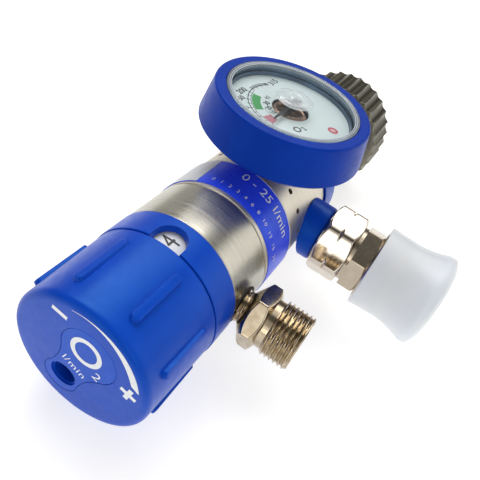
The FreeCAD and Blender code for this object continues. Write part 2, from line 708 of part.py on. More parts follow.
def handwheel():
    """Nut with an inside thread, a smooth hub and a rim of scooped teeth."""
    side = WHEEL_CHAMFER
    blank = lathe(
        (HUB_FRONT, STEM_R + RUN), (HUB_FRONT, WHEEL_HUB_R - 1), (HUB_FRONT + 1, WHEEL_HUB_R),
        (WHEEL_FRONT - 3, WHEEL_HUB_R + 1.2),
        ((WHEEL_FRONT - 0.9, WHEEL_HUB_R + 2.1), (WHEEL_FRONT, WHEEL_HUB_R + 4.2)),
        (WHEEL_FRONT, WHEEL_R - TOOTH_DEPTH - 0.4), (WHEEL_FRONT + side, WHEEL_R), (WHEEL_END - side, WHEEL_R),
        (WHEEL_END, WHEEL_R - TOOTH_DEPTH - 0.2), (WHEEL_END, THREAD_MINOR_R + 1.2),
        (WHEEL_END - 1.2, THREAD_MINOR_R), (WHEEL_WALL_END, THREAD_MINOR_R), (WHEEL_WALL_END, STEM_R + RUN))
    half_pitch = math.radians(180.0 / WHEEL_TEETH)
    chord = WHEEL_R * math.sin(half_pitch)
    sag = WHEEL_R * math.cos(half_pitch) - (WHEEL_R - TOOTH_DEPTH)
    scoop_r = (chord ** 2 + sag ** 2) / (2 * sag)
    centre = Vector(WHEEL_R - TOOTH_DEPTH + scoop_r, 0, WHEEL_FRONT - 1)
    scoop = Part.makeCylinder(scoop_r, WHEEL_LEN + 2, centre)
    return blank.cut(round_about(scoop, WHEEL_TEETH, from_top(6.0)))


# Gauge


def gauge_bumper():
    floor = CASE_FLOOR - FIT
    lip = CASE_R + FIT
    return lathe(
        (BUMPER_BASE, BUMPER_HOLE_R), (BUMPER_BASE, BUMPER_BASE_R - BUMPER_EDGE),
        (BUMPER_BASE + BUMPER_EDGE, BUMPER_BASE_R), (BUMPER_TOP - 1.0, BUMPER_TOP_R + 0.1),
        ((BUMPER_TOP - 0.28, BUMPER_TOP_R - 0.22), (BUMPER_TOP, BUMPER_TOP_R - 1.0)),
        (BUMPER_TOP, lip + 0.4), (BUMPER_TOP - 0.4, lip), (floor, lip), (floor, BUMPER_HOLE_R))


def gauge_case():
    inner = CASE_R - CASE_WALL
    inside = CASE_FLOOR + CASE_WALL
    return lathe(
        (CASE_FLOOR, GAUGE_BLOCK_R + FIT), (CASE_FLOOR, CASE_R), (CASE_TOP, CASE_R), (CASE_TOP, inner),
        (inside, inner), (inside, GAUGE_BLOCK_R + FIT))


def gauge_stem():
    """Threaded stem, hexagon and the block inside the case that carries the tube."""
    hex_low = GAUGE_SEAT_OUT + FIT
    body = rod(hex_low - GAUGE_THREAD_LEN, hex_low + 1, GAUGE_THREAD_R)
    body = body.fuse(hex_nut(hex_low, BUMPER_BASE - 0.4, GAUGE_HEX, 0))
    body = body.fuse(rod(BUMPER_BASE - 1.2, BLOCK_TOP, GAUGE_BLOCK_R))
    return body.cut(rod(hex_low - GAUGE_THREAD_LEN - 1, BLOCK_TOP - GAUGE_BLOCK_LEN / 2, GAUGE_WAY_R))


def bourdon_tube():
    return coil(BLOCK_TOP + FIT, DIAL_AT - GAP, TUBE_COIL_R, TUBE_R, TUBE_COILS)


def gauge_dial():
    seat = tube(DIAL_AT, DIAL_AT + DIAL_T, DIAL_WINDOW_R, DIAL_R)
    ledge = tube(DIAL_AT - DIAL_LEDGE_T, DIAL_AT, DIAL_R - 0.4, CASE_R - CASE_WALL - FIT)
    return seat.fuse(ledge)


def gauge_pointer():
    low = DIAL_AT + DIAL_T + GAP
    points = [
        Vector(0.95, 0, low), Vector(0.28, -POINTER_LEN, low), Vector(-0.28, -POINTER_LEN, low),
        Vector(-0.95, 0, low), Vector(-1.3, POINTER_TAIL, low), Vector(1.3, POINTER_TAIL, low),
        Vector(0.95, 0, low)]
    blade = Part.Face(Part.makePolygon(points)).extrude(Vector(0, 0, POINTER_T))
    shaft = rod(BLOCK_TOP + FIT, low + POINTER_T, POINTER_SHAFT_R)
    return blade.fuse(rod(low, low + POINTER_T, POINTER_HUB_R)).fuse(shaft)


def gauge_lens():
    """Clear cover: a raised rim, a flat pane and a low round boss in the middle."""
    low = CASE_TOP + FIT
    pane_top = low + LENS_PANE_T
    rim = CASE_R
    inner_rim = rim - LENS_RIM
    return lathe(
        (low, 0), (low, rim), (LENS_TOP - 0.5, rim), ((LENS_TOP - 0.15, rim - 0.15), (LENS_TOP, rim - 0.5)),
        (LENS_TOP, inner_rim + 0.3), (pane_top, inner_rim - 0.3), (pane_top, LENS_BOSS_R),
        (pane_top + 0.5 * LENS_BOSS_H, LENS_BOSS_R - 0.3), (pane_top + LENS_BOSS_H, LENS_BOSS_R - 1.5),
        (pane_top + LENS_BOSS_H, 0))


# Flow outlet


def flow_outlet():
    """Neck, coned hexagon, collar and outside thread on one bored piece."""
    root = CHAMBER_R + GAP
    corner = FLOW_HEX / math.sqrt(3)
    slope = math.tan(math.radians(FLOW_HEX_CONE))
    cone_start = FLOW_HEX_OUT - (corner - FLOW_NECK_R) * slope
    cone_end = FLOW_HEX_END + (corner - FLOW_HEX_FRONT_R) * slope
    collar_end = cone_end + FLOW_COLLAR_LEN
    end = collar_end + FLOW_THREAD_LEN
    tip = end + FLOW_THREAD_CHAMFER
    blank = lathe(
        (cone_start, 0), (cone_start, FLOW_NECK_R), (FLOW_HEX_OUT, corner), (FLOW_HEX_END, corner),
        (cone_end, FLOW_HEX_FRONT_R), (cone_end, 0))
    body = lathe(
        (root, 0), (root, FLOW_NECK_R), (FLOW_HEX_OUT, FLOW_NECK_R), (FLOW_HEX_OUT, FLOW_COLLAR_R),
        (collar_end, FLOW_COLLAR_R), (collar_end, FLOW_THREAD_R), (end, FLOW_THREAD_R),
        (tip, FLOW_THREAD_R - FLOW_THREAD_CHAMFER), (tip, 0))
    body = body.fuse(hex_bar(cone_start, cone_end, FLOW_HEX, FLOW_HEX_TURN).common(blank))
    body = body.cut(rod(root - 1, tip + 1, FLOW_BORE_R))
    mouth = lathe((tip, 0), (tip, FLOW_CONE_R), (tip - FLOW_CONE_LEN, FLOW_BORE_R), (tip - FLOW_CONE_LEN, 0))
    return body.cut(mouth)


def flow_outlet_seal():
    low = FLOW_SPOT_OUT + FIT
    return tube(low, low + FLOW_SEAL_T, FLOW_NECK_R + FIT, FLOW_SPOT_R - FIT)


# Quick coupling


def port_ring():
    """Blue ring whose back slopes: its top reaches over the round body."""
    front = PORT_RING_OUT
    inner = SLEEVE_R + FIT
    reach = 2 * PORT_RING_R
    ring = lathe(
        (front - reach, inner), (front - reach, PORT_RING_R), (front - 1.0, PORT_RING_R),
        ((front - 0.3, PORT_RING_R - 0.3), (front, PORT_RING_R - 1.0)), (front, inner))
    behind = Part.makeBox(4 * reach, 4 * reach, 2 * reach, Vector(-2 * reach, -2 * reach, -2 * reach))
    behind.rotate(Vector(0, 0, 0), Vector(0, 1, 0), -PORT_RING_SLOPE)
    behind.translate(Vector(0, 0, PORT_RING_BACK))
    saddle = Part.makeCylinder(STEP_R + FIT, 4 * reach, Vector(0, -2 * reach, 0), Vector(0, 1, 0))
    return ring.cut(behind).cut(saddle)


def lock_nut():
    """Nut whose corners are turned to narrow bands and notched at half length."""
    high = LOCK_END
    middle = (LOCK_OUT + high) / 2
    shell = lathe(
        (LOCK_OUT, SLEEVE_R + FIT), (LOCK_OUT, LOCK_CORNER_R - 1.1), (LOCK_OUT + 0.9, LOCK_CORNER_R),
        (middle - NOTCH_W / 2, LOCK_CORNER_R), (middle, NOTCH_R), (middle + NOTCH_W / 2, LOCK_CORNER_R),
        (high - 0.9, LOCK_CORNER_R), (high, LOCK_CORNER_R - 1.1), (high, SLEEVE_R + FIT))
    nut = hex_bar(LOCK_OUT, high, LOCK_HEX, LOCK_TURN).common(shell)
    washer = tube(PORT_RING_OUT + FIT, LOCK_OUT + 0.2, SLEEVE_R + FIT, PORT_RING_R - 1.0)
    return nut.fuse(washer)


def coupling_body():
    """Screwed neck, hexagon and the round socket that takes the probe."""
    nut_end = LOCK_END + FIT
    body = lathe(
        (PORT_DEPTH_OUT + 0.3, 0), (PORT_DEPTH_OUT + 0.3, PORT_R), (STEP_R + 1, PORT_R), (STEP_R + 1, SLEEVE_R),
        (nut_end, SLEEVE_R), (nut_end, GROOVE_R), (HEX_AT + 1, GROOVE_R), (HEX_AT + 1, SOCKET_R - 2.2),
        (HEX_END, SOCKET_R - 2.2), (HEX_END, SOCKET_R), (SOCKET_END - 1.2, SOCKET_R),
        (SOCKET_END, SOCKET_R - 1.2), (SOCKET_END, 0))
    body = body.fuse(hex_nut(HEX_AT, HEX_END, COUPLING_HEX, COUPLING_TURN, False))
    body = body.cut(rod(PORT_DEPTH_OUT, VALVE_CHAMBER_AT + 1, 1.8))
    body = body.cut(rod(VALVE_CHAMBER_AT, SEAT_AT, VALVE_CHAMBER_R))
    body = body.cut(rod(SEAT_AT - 1, SEAT_AT + VALVE_SEAT_T + 1, VALVE_NOSE_R + GAP))
    socket = lathe(
        (SEAT_AT + VALVE_SEAT_T, 0), (SEAT_AT + VALVE_SEAT_T, SOCKET_BORE_R), (SOCKET_END - 0.8, SOCKET_BORE_R),
        (SOCKET_END + 0.2, SOCKET_BORE_R + 1), (SOCKET_END + 0.2, 0))
    return body.cut(socket)


def check_valve():
    head_end = SEAT_AT - GAP
    head = head_end - VALVE_HEAD_T
    tail = head - VALVE_TAIL_LEN
    nose = head_end + VALVE_NOSE_LEN
    return lathe(
        (tail, 0), (tail, VALVE_TAIL_R), (head, VALVE_TAIL_R), (head, VALVE_HEAD_R),
        (head_end - 0.4, VALVE_HEAD_R), (head_end, VALVE_HEAD_R - 0.4), (head_end, VALVE_NOSE_R),
        (nose - 0.8, VALVE_NOSE_R),
        (nose, VALVE_NOSE_R - 0.8), (nose, 0))


def check_spring():
    high = SEAT_AT - GAP - VALVE_HEAD_T - VALVE_LIFT - FIT
    return coil(VALVE_CHAMBER_AT + FIT, high, VALVE_COIL_R, VALVE_WIRE_R, VALVE_COILS)


def coupling_cap():
    """Push-on cap with a waist, a flared end and a rounded rim."""
    low = HEX_END + GAP
    end = low + CAP_LEN
    bore = SOCKET_R + RUN
    floor = SOCKET_END + 4.6
    flare = end - CAP_END_ROUND
    waist = low + 0.52 * CAP_LEN
    return lathe(
        (low, bore + 0.5), (low, CAP_MOUTH_R - 0.5), (low + 0.5, CAP_MOUTH_R),
        ((waist, CAP_WAIST_R), (flare - 1.2, CAP_FLARE_R - 0.35)),
        ((flare + 0.6, CAP_FLARE_R), (end - 0.5, CAP_FLARE_R - 1.3)),
        ((end - 0.1, CAP_FLARE_R - 2.0), (end, CAP_FLARE_R - 3.0)), (end, 0), (floor, 0), (floor, bore - 0.6),
        (floor - 0.6, bore), (low + 0.5, bore))


main_axis = placed_along_main()
flow_axis = placed_along_outlet(FLOW_OUTLET_AT)
coupling_axis = placed_along_outlet(COUPLING_AT)
gauge_axis = placed_up_gauge()

PIECES = {
    "knob": (knob, main_axis),
    "face_plate": (face_plate, main_axis),
    "knob_screw": (knob_screw, main_axis),
    "spindle": (spindle, main_axis),
    "number_drum": (number_drum, main_axis),
    "orifice_disc": (orifice_disc, main_axis),
    "window_collar": (window_collar, main_axis),
    "front_housing": (front_housing, main_axis),
    "click_ball": (click_ball, main_axis),
    "click_spring": (click_spring, main_axis),
    "spindle_seal": (spindle_seal, main_axis),
    "seat_plate": (seat_plate, main_axis),
    "main_body": (main_body, main_axis),
    "body_label": (body_label, main_axis),
    "piston": (piston, main_axis),
    "piston_seal": (piston_seal, main_axis),
    "piston_spring": (piston_spring, main_axis),
    "inlet_nozzle": (inlet_nozzle, main_axis),
    "guard_ring": (guard_ring, main_axis),
    "inlet_stem": (inlet_stem, main_axis),
    "inlet_filter": (inlet_filter, main_axis),
    "inlet_seal": (inlet_seal, main_axis),
    "wheel_clip": (wheel_clip, main_axis),
    "handwheel": (handwheel, main_axis),
    "gauge_bumper": (gauge_bumper, gauge_axis),
    "gauge_case": (gauge_case, gauge_axis),
    "gauge_stem": (gauge_stem, gauge_axis),
    "bourdon_tube": (bourdon_tube, gauge_axis),
    "gauge_dial": (gauge_dial, gauge_axis),
    "gauge_pointer": (gauge_pointer, gauge_axis),
    "gauge_lens": (gauge_lens, gauge_axis),
    "flow_outlet": (flow_outlet, flow_axis),
    "flow_outlet_seal": (flow_outlet_seal, flow_axis),
    "port_ring": (port_ring, coupling_axis),
    "coupling_body": (coupling_body, coupling_axis),
    "lock_nut": (lock_nut, coupling_axis),
    "check_valve": (check_valve, coupling_axis),
    "check_spring": (check_spring, coupling_axis),
    "coupling_cap": (coupling_cap, coupling_axis),
}

for name, (make, frame) in PIECES.items():
    piece = make()
    piece.Placement = frame.multiply(piece.Placement)
    piece.exportStep("parts/" + name + ".step")
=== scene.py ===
import math

import bmesh
import bpy
import numpy as np
from mathutils import Matrix, Vector


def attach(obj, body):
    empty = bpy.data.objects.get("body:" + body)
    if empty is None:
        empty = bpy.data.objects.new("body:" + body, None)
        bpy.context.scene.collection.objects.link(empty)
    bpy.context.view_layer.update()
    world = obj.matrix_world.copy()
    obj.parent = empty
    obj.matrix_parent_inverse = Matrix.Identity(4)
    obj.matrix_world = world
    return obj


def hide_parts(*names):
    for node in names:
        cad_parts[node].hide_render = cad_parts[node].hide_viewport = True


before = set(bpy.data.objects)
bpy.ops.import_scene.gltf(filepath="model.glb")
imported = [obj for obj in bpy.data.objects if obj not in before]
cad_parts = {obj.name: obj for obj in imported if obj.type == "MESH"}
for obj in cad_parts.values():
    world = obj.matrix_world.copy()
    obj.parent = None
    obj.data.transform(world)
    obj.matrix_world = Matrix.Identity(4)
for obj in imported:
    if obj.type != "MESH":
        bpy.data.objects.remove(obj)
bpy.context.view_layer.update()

# Millimetres below; points are scaled once, when a mesh is made.
MM = 0.001
rad = math.radians
SHARP = rad(35)            # edges that turn more than this stay sharp
SEAM = -130.5              # y of the seam behind the knob
GAUGE_Y = -74.1            # y of the gauge's axis
FLOW_Y = -114.9            # y of the flow outlet's axis
COUPLING_Y = -69.2         # y of the quick coupling's axis


# Where things lie

def on_main(h, r, a):
    """Station behind the seam, radius, angle from the top towards the outlets."""
    return r * np.sin(a), h + SEAM, r * np.cos(a)


def on_outlet(y):
    """Distance out from the main axis, radius, angle from the top towards the knob."""
    return lambda h, r, a: (h + 0 * a, y - r * np.sin(a), r * np.cos(a))


def on_gauge(h, r, a):
    """Height, radius, angle from +X towards the valve."""
    return r * np.cos(a), GAUGE_Y + r * np.sin(a), h + 0 * a


# Meshes

def rounded(points, closed, steps):
    """Corner points whose third number is the rounding there."""
    pts = [np.array(p[:2], float) for p in points]
    out = []
    for i, p in enumerate(points):
        size = p[2] if len(p) > 2 else 0
        if not size or (not closed and i in (0, len(points) - 1)):
            out.append(pts[i])
            continue
        a, b = pts[i - 1] - pts[i], pts[(i + 1) % len(pts)] - pts[i]
        la, lb = np.linalg.norm(a), np.linalg.norm(b)
        corner = math.acos(max(-1, min(1, float(a @ b) / (la * lb))))
        reach = min(size / math.tan(corner / 2), 0.49 * la, 0.49 * lb)
        start, end = pts[i] + a / la * reach, pts[i] + b / lb * reach
        for k in range(steps + 1):
            u = k / steps
            out.append((1 - u) ** 2 * start + 2 * u * (1 - u) * pts[i] + u * u * end)
    return out


def dense(path, step, closed):
    """Path with more points, none further apart than a step."""
    out = []
    last = len(path) if closed else len(path) - 1
    for i in range(last):
        a, b = path[i], path[(i + 1) % len(path)]
        n = max(1, int(math.ceil(np.linalg.norm(b - a) / step)))
        out += [a + (b - a) * k / n for k in range(n)]
    return out if closed else out + [path[-1]]


def smoothed(obj):
    """Smooth shading that keeps the sharp edges."""
    obj.data.shade_smooth()
    obj.data.set_sharp_from_angle(angle=SHARP)
    weights = obj.modifiers.new("weights", "WEIGHTED_NORMAL")
    weights.keep_sharp = True
    return obj


def placed(name, me):
    """Puts a mesh into the scene."""
    obj = bpy.data.objects.new(name, me)
    bpy.context.scene.collection.objects.link(obj)
    return smoothed(obj)


def build(name, verts, faces):
    """Piece from points in metres, with its faces turned outwards."""
    me = bpy.data.meshes.new(name)
    me.from_pydata([tuple(v) for v in verts], [], faces)
    bm = bmesh.new()
    bm.from_mesh(me)
    bmesh.ops.remove_doubles(bm, verts=bm.verts, dist=2e-7)
    bmesh.ops.dissolve_degenerate(bm, edges=bm.edges, dist=1e-7)
    bmesh.ops.recalc_face_normals(bm, faces=bm.faces)
    bm.to_mesh(me)
    bm.free()
    return placed(name, me)


def turned(name, points, place, around=144, closed=True, step=None, warp=None, steps=4, turn=0.0):
    """Turned solid; warp may bend the rows' heights and radii by angle."""
    path = rounded(points, closed, steps)
    if step:
        path = dense(path, step, closed)
    if isinstance(around, int):
        around = np.arange(around) * 2 * math.pi / around + rad(turn)
    h = np.array([p[0] for p in path])[:, None] + 0 * around[None, :]
    r = np.array([p[1] for p in path])[:, None] + 0 * around[None, :]
    a = np.asarray(around)[None, :] + 0 * h
    if warp:
        h, r = warp(h, r, a)
    verts = np.stack(place(h, r, a), -1).reshape(-1, 3) * MM
    n, rows = len(around), len(path)
    faces = []
    for i in range(rows if closed else rows - 1):
        k = (i + 1) % rows
        for j in range(n):
            m = (j + 1) % n
            faces.append((i * n + j, i * n + m, k * n + m, k * n + j))
    return build(name, verts, faces)


def hexed(flats, corner, crisp=70):
    """Cuts a turned blank to a hexagon: width over flats, angle of a corner, crispness of corners."""
    def warp(h, r, a):
        total = 0
        for k in range(6):
            c = np.maximum(np.cos(a - rad(corner + 30 + 60 * k)), 1e-6)
            total = total + (c / (flats / 2)) ** crisp
        flat = total ** (-1 / crisp)
        return h, flat * (1 + (flat / np.maximum(r, 1e-6)) ** crisp) ** (-1 / crisp)
    return warp


def threaded(low, high, pitch, depth):
    """Rounded thread between two heights, fading at both ends; the bore stays plain."""
    crest = 0.94           # below 1 it rounds the crests and the roots

    def warp(h, r, a):
        phase = 2 * math.pi * (h / pitch - a / (2 * math.pi))
        wave = np.arcsin(crest * np.cos(phase)) / math.asin(crest)
        fade = np.clip((h - low) / (0.5 * pitch), 0, 1) * np.clip((high - h) / (0.5 * pitch), 0, 1)
        outside = r > 0.6 * r.max()
        return h, r - depth * (0.5 - 0.5 * wave) * fade * outside
    return warp


def circle(radius, n, x=0.0, y=0.0):
    """Points of a circle."""
    return [(x + radius * math.cos(t), y + radius * math.sin(t)) for t in np.arange(n) * 2 * math.pi / n]


def prism(name, outline, low, high, place, top=None, bevel=0.0):
    """Outline between two heights, or up to another outline; place(u, v, w) gives the point."""
    n = len(outline)
    ends = [(u, v, low) for u, v in outline] + [(u, v, high) for u, v in top or outline]
    faces = [tuple(range(n)), tuple(range(2 * n - 1, n - 1, -1))]
    faces += [(i, (i + 1) % n, n + (i + 1) % n, n + i) for i in range(n)]
    obj = build(name, [np.array(place(*p)) * MM for p in ends], faces)
    if bevel:
        mod = obj.modifiers.new("bevel", "BEVEL")
        mod.width, mod.segments = bevel * MM, 2
        mod.limit_method, mod.angle_limit = "ANGLE", rad(50)
        obj.modifiers.move(1, 0)           # ahead of the weighted normals
    return obj


def applied(obj):
    """Bakes every modifier into the mesh."""
    bpy.context.view_layer.update()
    done = obj.evaluated_get(bpy.context.evaluated_depsgraph_get())
    me = bpy.data.meshes.new_from_object(done)
    old = obj.data
    obj.modifiers.clear()
    obj.data = me
    bpy.data.meshes.remove(old)
    return obj


def discard(obj):
    """Removes a piece and its mesh."""
    me = obj.data
    bpy.data.objects.remove(obj)
    bpy.data.meshes.remove(me)


def cut(obj, *cutters):
    """Cuts the cutters out of a piece, then removes the cutters."""
    name = obj.name
    obj.modifiers.clear()
    for cutter in cutters:
        cutter.modifiers.clear()
        mod = obj.modifiers.new("cut", "BOOLEAN")
        mod.operation, mod.solver, mod.object = "DIFFERENCE", "EXACT", cutter
    applied(obj)
    for cutter in cutters:
        discard(cutter)
    bm = bmesh.new()
    bm.from_mesh(obj.data)
    bmesh.ops.remove_doubles(bm, verts=bm.verts, dist=1e-7)
    bmesh.ops.dissolve_degenerate(bm, edges=bm.edges, dist=1e-7)
    bm.to_mesh(obj.data)
    bm.free()
    smoothed(obj)
    obj.name = name
    return obj


def merged(name, *objs):
    """One object from several meshes."""
    bm = bmesh.new()
    for obj in objs:
        bm.from_mesh(applied(obj).data)
        discard(obj)
    me = bpy.data.meshes.new(name)
    bm.to_mesh(me)
    bm.free()
    return placed(name, me)


def strip(name, rows):
    """Sheet through rows of points in millimetres."""
    n = len(rows[0])
    verts = [np.array(p) * MM for row in rows for p in row]
    faces = []
    for i in range(len(rows) - 1):
        for j in range(n - 1):
            faces.append((i * n + j, i * n + j + 1, (i + 1) * n + j + 1, (i + 1) * n + j))
    return build(name, verts, faces)


def tube_along(name, points, radius, around=12):
    """Round wire of a radius through points, with closed ends."""
    pts = [Vector(p) for p in points]
    rows = []
    side = None
    ring = np.arange(around) * 2 * math.pi / around
    for i, p in enumerate(pts):
        t = (pts[min(i + 1, len(pts) - 1)] - pts[max(i - 1, 0)]).normalized()
        side = t.orthogonal().normalized() if side is None else (side - t * side.dot(t)).normalized()
        up = t.cross(side)
        rows.append([p + (side * math.cos(k) + up * math.sin(k)) * radius for k in ring])
    verts = [v * MM for row in rows for v in row]
    faces = [tuple(range(around)), tuple(range(len(verts) - 1, len(verts) - around - 1, -1))]
    for i in range(len(rows) - 1):
        for j in range(around):
            m = (j + 1) % around
            faces.append((i * around + j, i * around + m, (i + 1) * around + m, (i + 1) * around + j))
    return build(name, verts, faces)


def letters(name, text, size, place, detail=0.5, spread=1.0, bold=0.0):
    """Text as a mesh; place(u, v) takes millimetres from its middle."""
    curve = bpy.data.curves.new(name, "FONT")
    curve.body, curve.size, curve.align_x, curve.align_y = text, size, "CENTER", "CENTER"
    curve.space_character = spread
    curve.offset = 0 if "4" in text else bold    # a thickened 4 closes up
    curve.resolution_u = 4
    temp = bpy.data.objects.new(name + "_text", curve)
    bpy.context.scene.collection.objects.link(temp)
    bpy.context.view_layer.update()
    me = bpy.data.meshes.new_from_object(temp.evaluated_get(bpy.context.evaluated_depsgraph_get()))
    bpy.data.objects.remove(temp)
    bpy.data.curves.remove(curve)
    bm = bmesh.new()
    bm.from_mesh(me)
    bmesh.ops.triangulate(bm, faces=bm.faces)
    for _ in range(3):
        long = [e for e in bm.edges if e.calc_length() > detail]
        if not long:
            break
        bmesh.ops.subdivide_edges(bm, edges=long, cuts=1)
        bmesh.ops.triangulate(bm, faces=bm.faces)
    low = Vector((min(v.co.x for v in bm.verts), min(v.co.y for v in bm.verts), 0))
    high = Vector((max(v.co.x for v in bm.verts), max(v.co.y for v in bm.verts), 0))
    middle = (low + high) / 2
    for v in bm.verts:
        u, w = v.co.x - middle.x, v.co.y - middle.y
        v.co = Vector(place(u, w)) * MM
    bm.to_mesh(me)
    bm.free()
    me.materials.clear()
    return placed(name, me)


# Materials

class Nodes:
    """Short way to wire a material."""

    def __init__(self, name, base, rough, metal=0.0, **more):
        self.mat = bpy.data.materials.new(name)
        self.mat.use_nodes = True
        self.tree = self.mat.node_tree
        self.out = self.tree.nodes["Material Output"]
        self.bsdf = self.tree.nodes["Principled BSDF"]
        self.put("Base Color", (*base, 1))
        self.put("Roughness", rough)
        self.put("Metallic", metal)
        for key, value in more.items():
            self.put(key.replace("_", " "), value)
        self.height = None

    def put(self, socket, value):
        """Sets a constant on the shader's own socket."""
        self.bsdf.inputs[socket].default_value = value

    def add(self, kind, **inputs):
        """New node whose inputs are linked to sockets or set to constants."""
        node = self.tree.nodes.new(kind)
        for key, value in inputs.items():
            socket = node.inputs[key.replace("_", " ")]
            if hasattr(value, "is_output"):
                self.tree.links.new(value, socket)
            else:
                socket.default_value = value
        return node

    def link(self, a, b):
        self.tree.links.new(a, b)

    def where(self, scale=(1, 1, 1)):
        """Object coordinates in millimetres, stretched per axis."""
        coords = self.tree.nodes.new("ShaderNodeTexCoord")
        stretch = self.add("ShaderNodeVectorMath")
        stretch.operation = "MULTIPLY"
        self.link(coords.outputs["Object"], stretch.inputs[0])
        stretch.inputs[1].default_value = tuple(1000 * s for s in scale)
        return stretch.outputs[0]

    def noise(self, scale, detail=2.0, stretch=(1, 1, 1), rough=0.5):
        """Noise with so many features to a millimetre."""
        node = self.add("ShaderNodeTexNoise", Vector=self.where(stretch), Scale=scale, Detail=detail,
                        Roughness=rough)
        return node.outputs["Fac"]

    def ramp(self, value, low, high, out_low=0.0, out_high=1.0):
        """Maps low to high onto another range."""
        node = self.tree.nodes.new("ShaderNodeMapRange")
        self.link(value, node.inputs["Value"])
        for key, number in (("From Min", low), ("From Max", high), ("To Min", out_low), ("To Max", out_high)):
            node.inputs[key].default_value = number
        return node.outputs[0]

    def spread(self, noise, out_low=0.0, out_high=1.0):
        """Maps the usual span of a noise onto another range."""
        return self.ramp(noise, 0.3, 0.7, out_low, out_high)

    def mixed(self, fac, a, b):
        """Blend from colour a to colour b."""
        node = self.tree.nodes.new("ShaderNodeMix")
        node.data_type = "RGBA"
        self.link(fac, node.inputs["Factor"])
        for key, value in (("A", a), ("B", b)):
            if hasattr(value, "is_output"):
                self.link(value, node.inputs[key])
            else:
                node.inputs[key].default_value = (*value, 1)
        return node.outputs["Result"]

    def toward(self, way):
        """How far a point lies along a direction, in millimetres."""
        node = self.tree.nodes.new("ShaderNodeVectorMath")
        node.operation = "DOT_PRODUCT"
        self.link(self.where(), node.inputs[0])
        node.inputs[1].default_value = way
        return node.outputs["Value"]

    def off_axis(self, axis):
        """Distance from the object's own axis in millimetres."""
        scale = [1, 1, 1]
        scale[axis] = 0
        node = self.tree.nodes.new("ShaderNodeVectorMath")
        node.operation = "LENGTH"
        self.link(self.where(scale), node.inputs[0])
        return node.outputs["Value"]

    def bump(self, value, depth):
        """Adds a relief of that depth in millimetres."""
        node = self.tree.nodes.new("ShaderNodeBump")
        node.inputs["Distance"].default_value = depth * MM
        self.link(value, node.inputs["Height"])
        if self.height:
            self.link(self.height, node.inputs["Normal"])
        self.height = node.outputs["Normal"]
        self.link(self.height, self.bsdf.inputs["Normal"])

    def colour(self, value):
        self.link(value, self.bsdf.inputs["Base Color"])

    def shine(self, value):
        self.link(value, self.bsdf.inputs["Roughness"])


def moulded(name, base, deep, rough, grain=0.012, **more):
    """Moulded plastic: fine grain, slight cloudiness and rubbed spots."""
    m = Nodes(name, base, rough, **more)
    cloud = m.noise(0.12, 3)
    m.colour(m.mixed(m.spread(cloud), base, deep))
    fine = m.noise(9.0, 3)
    m.shine(m.spread(m.noise(0.5, 4), rough - 0.05, rough + 0.07))
    m.bump(fine, grain)
    return m


def glossy_blue(name, base, deep, rough, grain, level):
    """Moulded blue plastic with a bluish sheen."""
    return moulded(name, base, deep, rough, grain, Specular_IOR_Level=level,
                   Specular_Tint=(0.15, 0.65, 1.0, 1))


def lathed_metal(name, base, deep, rough, axis):
    """Turned metal: fine rings round its axis, faint cloudiness."""
    m = Nodes(name, base, rough, 1.0)
    along = [0.005, 0.005, 0.005]
    along[axis] = 1.0
    rings = m.noise(7.0, 4, along, 0.7)
    broad = m.noise(0.9, 3, along, 0.6)
    cloud = m.noise(0.10, 3)
    m.colour(m.mixed(m.spread(cloud), base, deep))
    total = m.add("ShaderNodeMath")
    total.operation = "ADD"
    m.link(m.spread(rings, -0.05, 0.07), total.inputs[0])
    m.link(m.spread(broad, rough - 0.04, rough + 0.05), total.inputs[1])
    m.shine(total.outputs[0])
    m.bump(rings, 0.004)
    return m


def plain_metal(name, base, deep, rough, relief=0.002):
    """Plated metal: faint ripple, polish marks and darker clouding."""
    m = Nodes(name, base, rough, 1.0)
    m.colour(m.mixed(m.spread(m.noise(0.35, 4)), base, deep))
    m.shine(m.spread(m.noise(1.2, 5), rough - 0.03, rough + 0.05))
    m.bump(m.noise(2.0, 3), relief)
    return m


blue = glossy_blue("blue_plastic", (0.004, 0.060, 0.52), (0.003, 0.052, 0.47), 0.33, 0.008, 0.34)
blue_plate = glossy_blue("blue_plate", (0.005, 0.074, 0.58), (0.004, 0.066, 0.53), 0.34, 0.006, 0.30)
blue_soft = glossy_blue("blue_bumper", (0.003, 0.036, 0.38), (0.003, 0.029, 0.33), 0.38, 0.014, 0.18)
blue_film = glossy_blue("blue_film", (0.028, 0.075, 0.95), (0.024, 0.066, 0.88), 0.30, 0.004, 0.35)
white_print = moulded("white_print", (0.86, 0.88, 0.90), (0.80, 0.83, 0.86), 0.45, 0.004)
black_print = moulded("black_print", (0.03, 0.03, 0.035), (0.02, 0.02, 0.022), 0.5, 0.004)
red_print = moulded("red_print", (0.72, 0.09, 0.13), (0.66, 0.07, 0.11), 0.5, 0.004)
pink_print = moulded("pink_print", (0.72, 0.24, 0.30), (0.66, 0.20, 0.26), 0.5, 0.004)
pale_print = moulded("pale_print", (0.92, 0.50, 0.55), (0.88, 0.46, 0.50), 0.5, 0.004)
green_print = moulded("green_print", (0.06, 0.42, 0.10), (0.05, 0.37, 0.08), 0.5, 0.004)
white = moulded("white_plastic", (0.82, 0.83, 0.84), (0.77, 0.79, 0.81), 0.42, 0.006)
panel = moulded("silver_film", (0.60, 0.62, 0.63), (0.54, 0.56, 0.58), 0.35, 0.004)
rubber = moulded("black_rubber", (0.02, 0.02, 0.02), (0.03, 0.03, 0.03), 0.7, 0.02)
body_metal = lathed_metal("turned_nickel", (0.475, 0.46, 0.40), (0.41, 0.395, 0.34), 0.26, 1)
main_metal = lathed_metal("brushed_nickel", (0.66, 0.62, 0.54), (0.60, 0.56, 0.48), 0.40, 1)
gauge_metal = lathed_metal("gauge_steel", (0.14, 0.20, 0.28), (0.11, 0.16, 0.23), 0.34, 2)
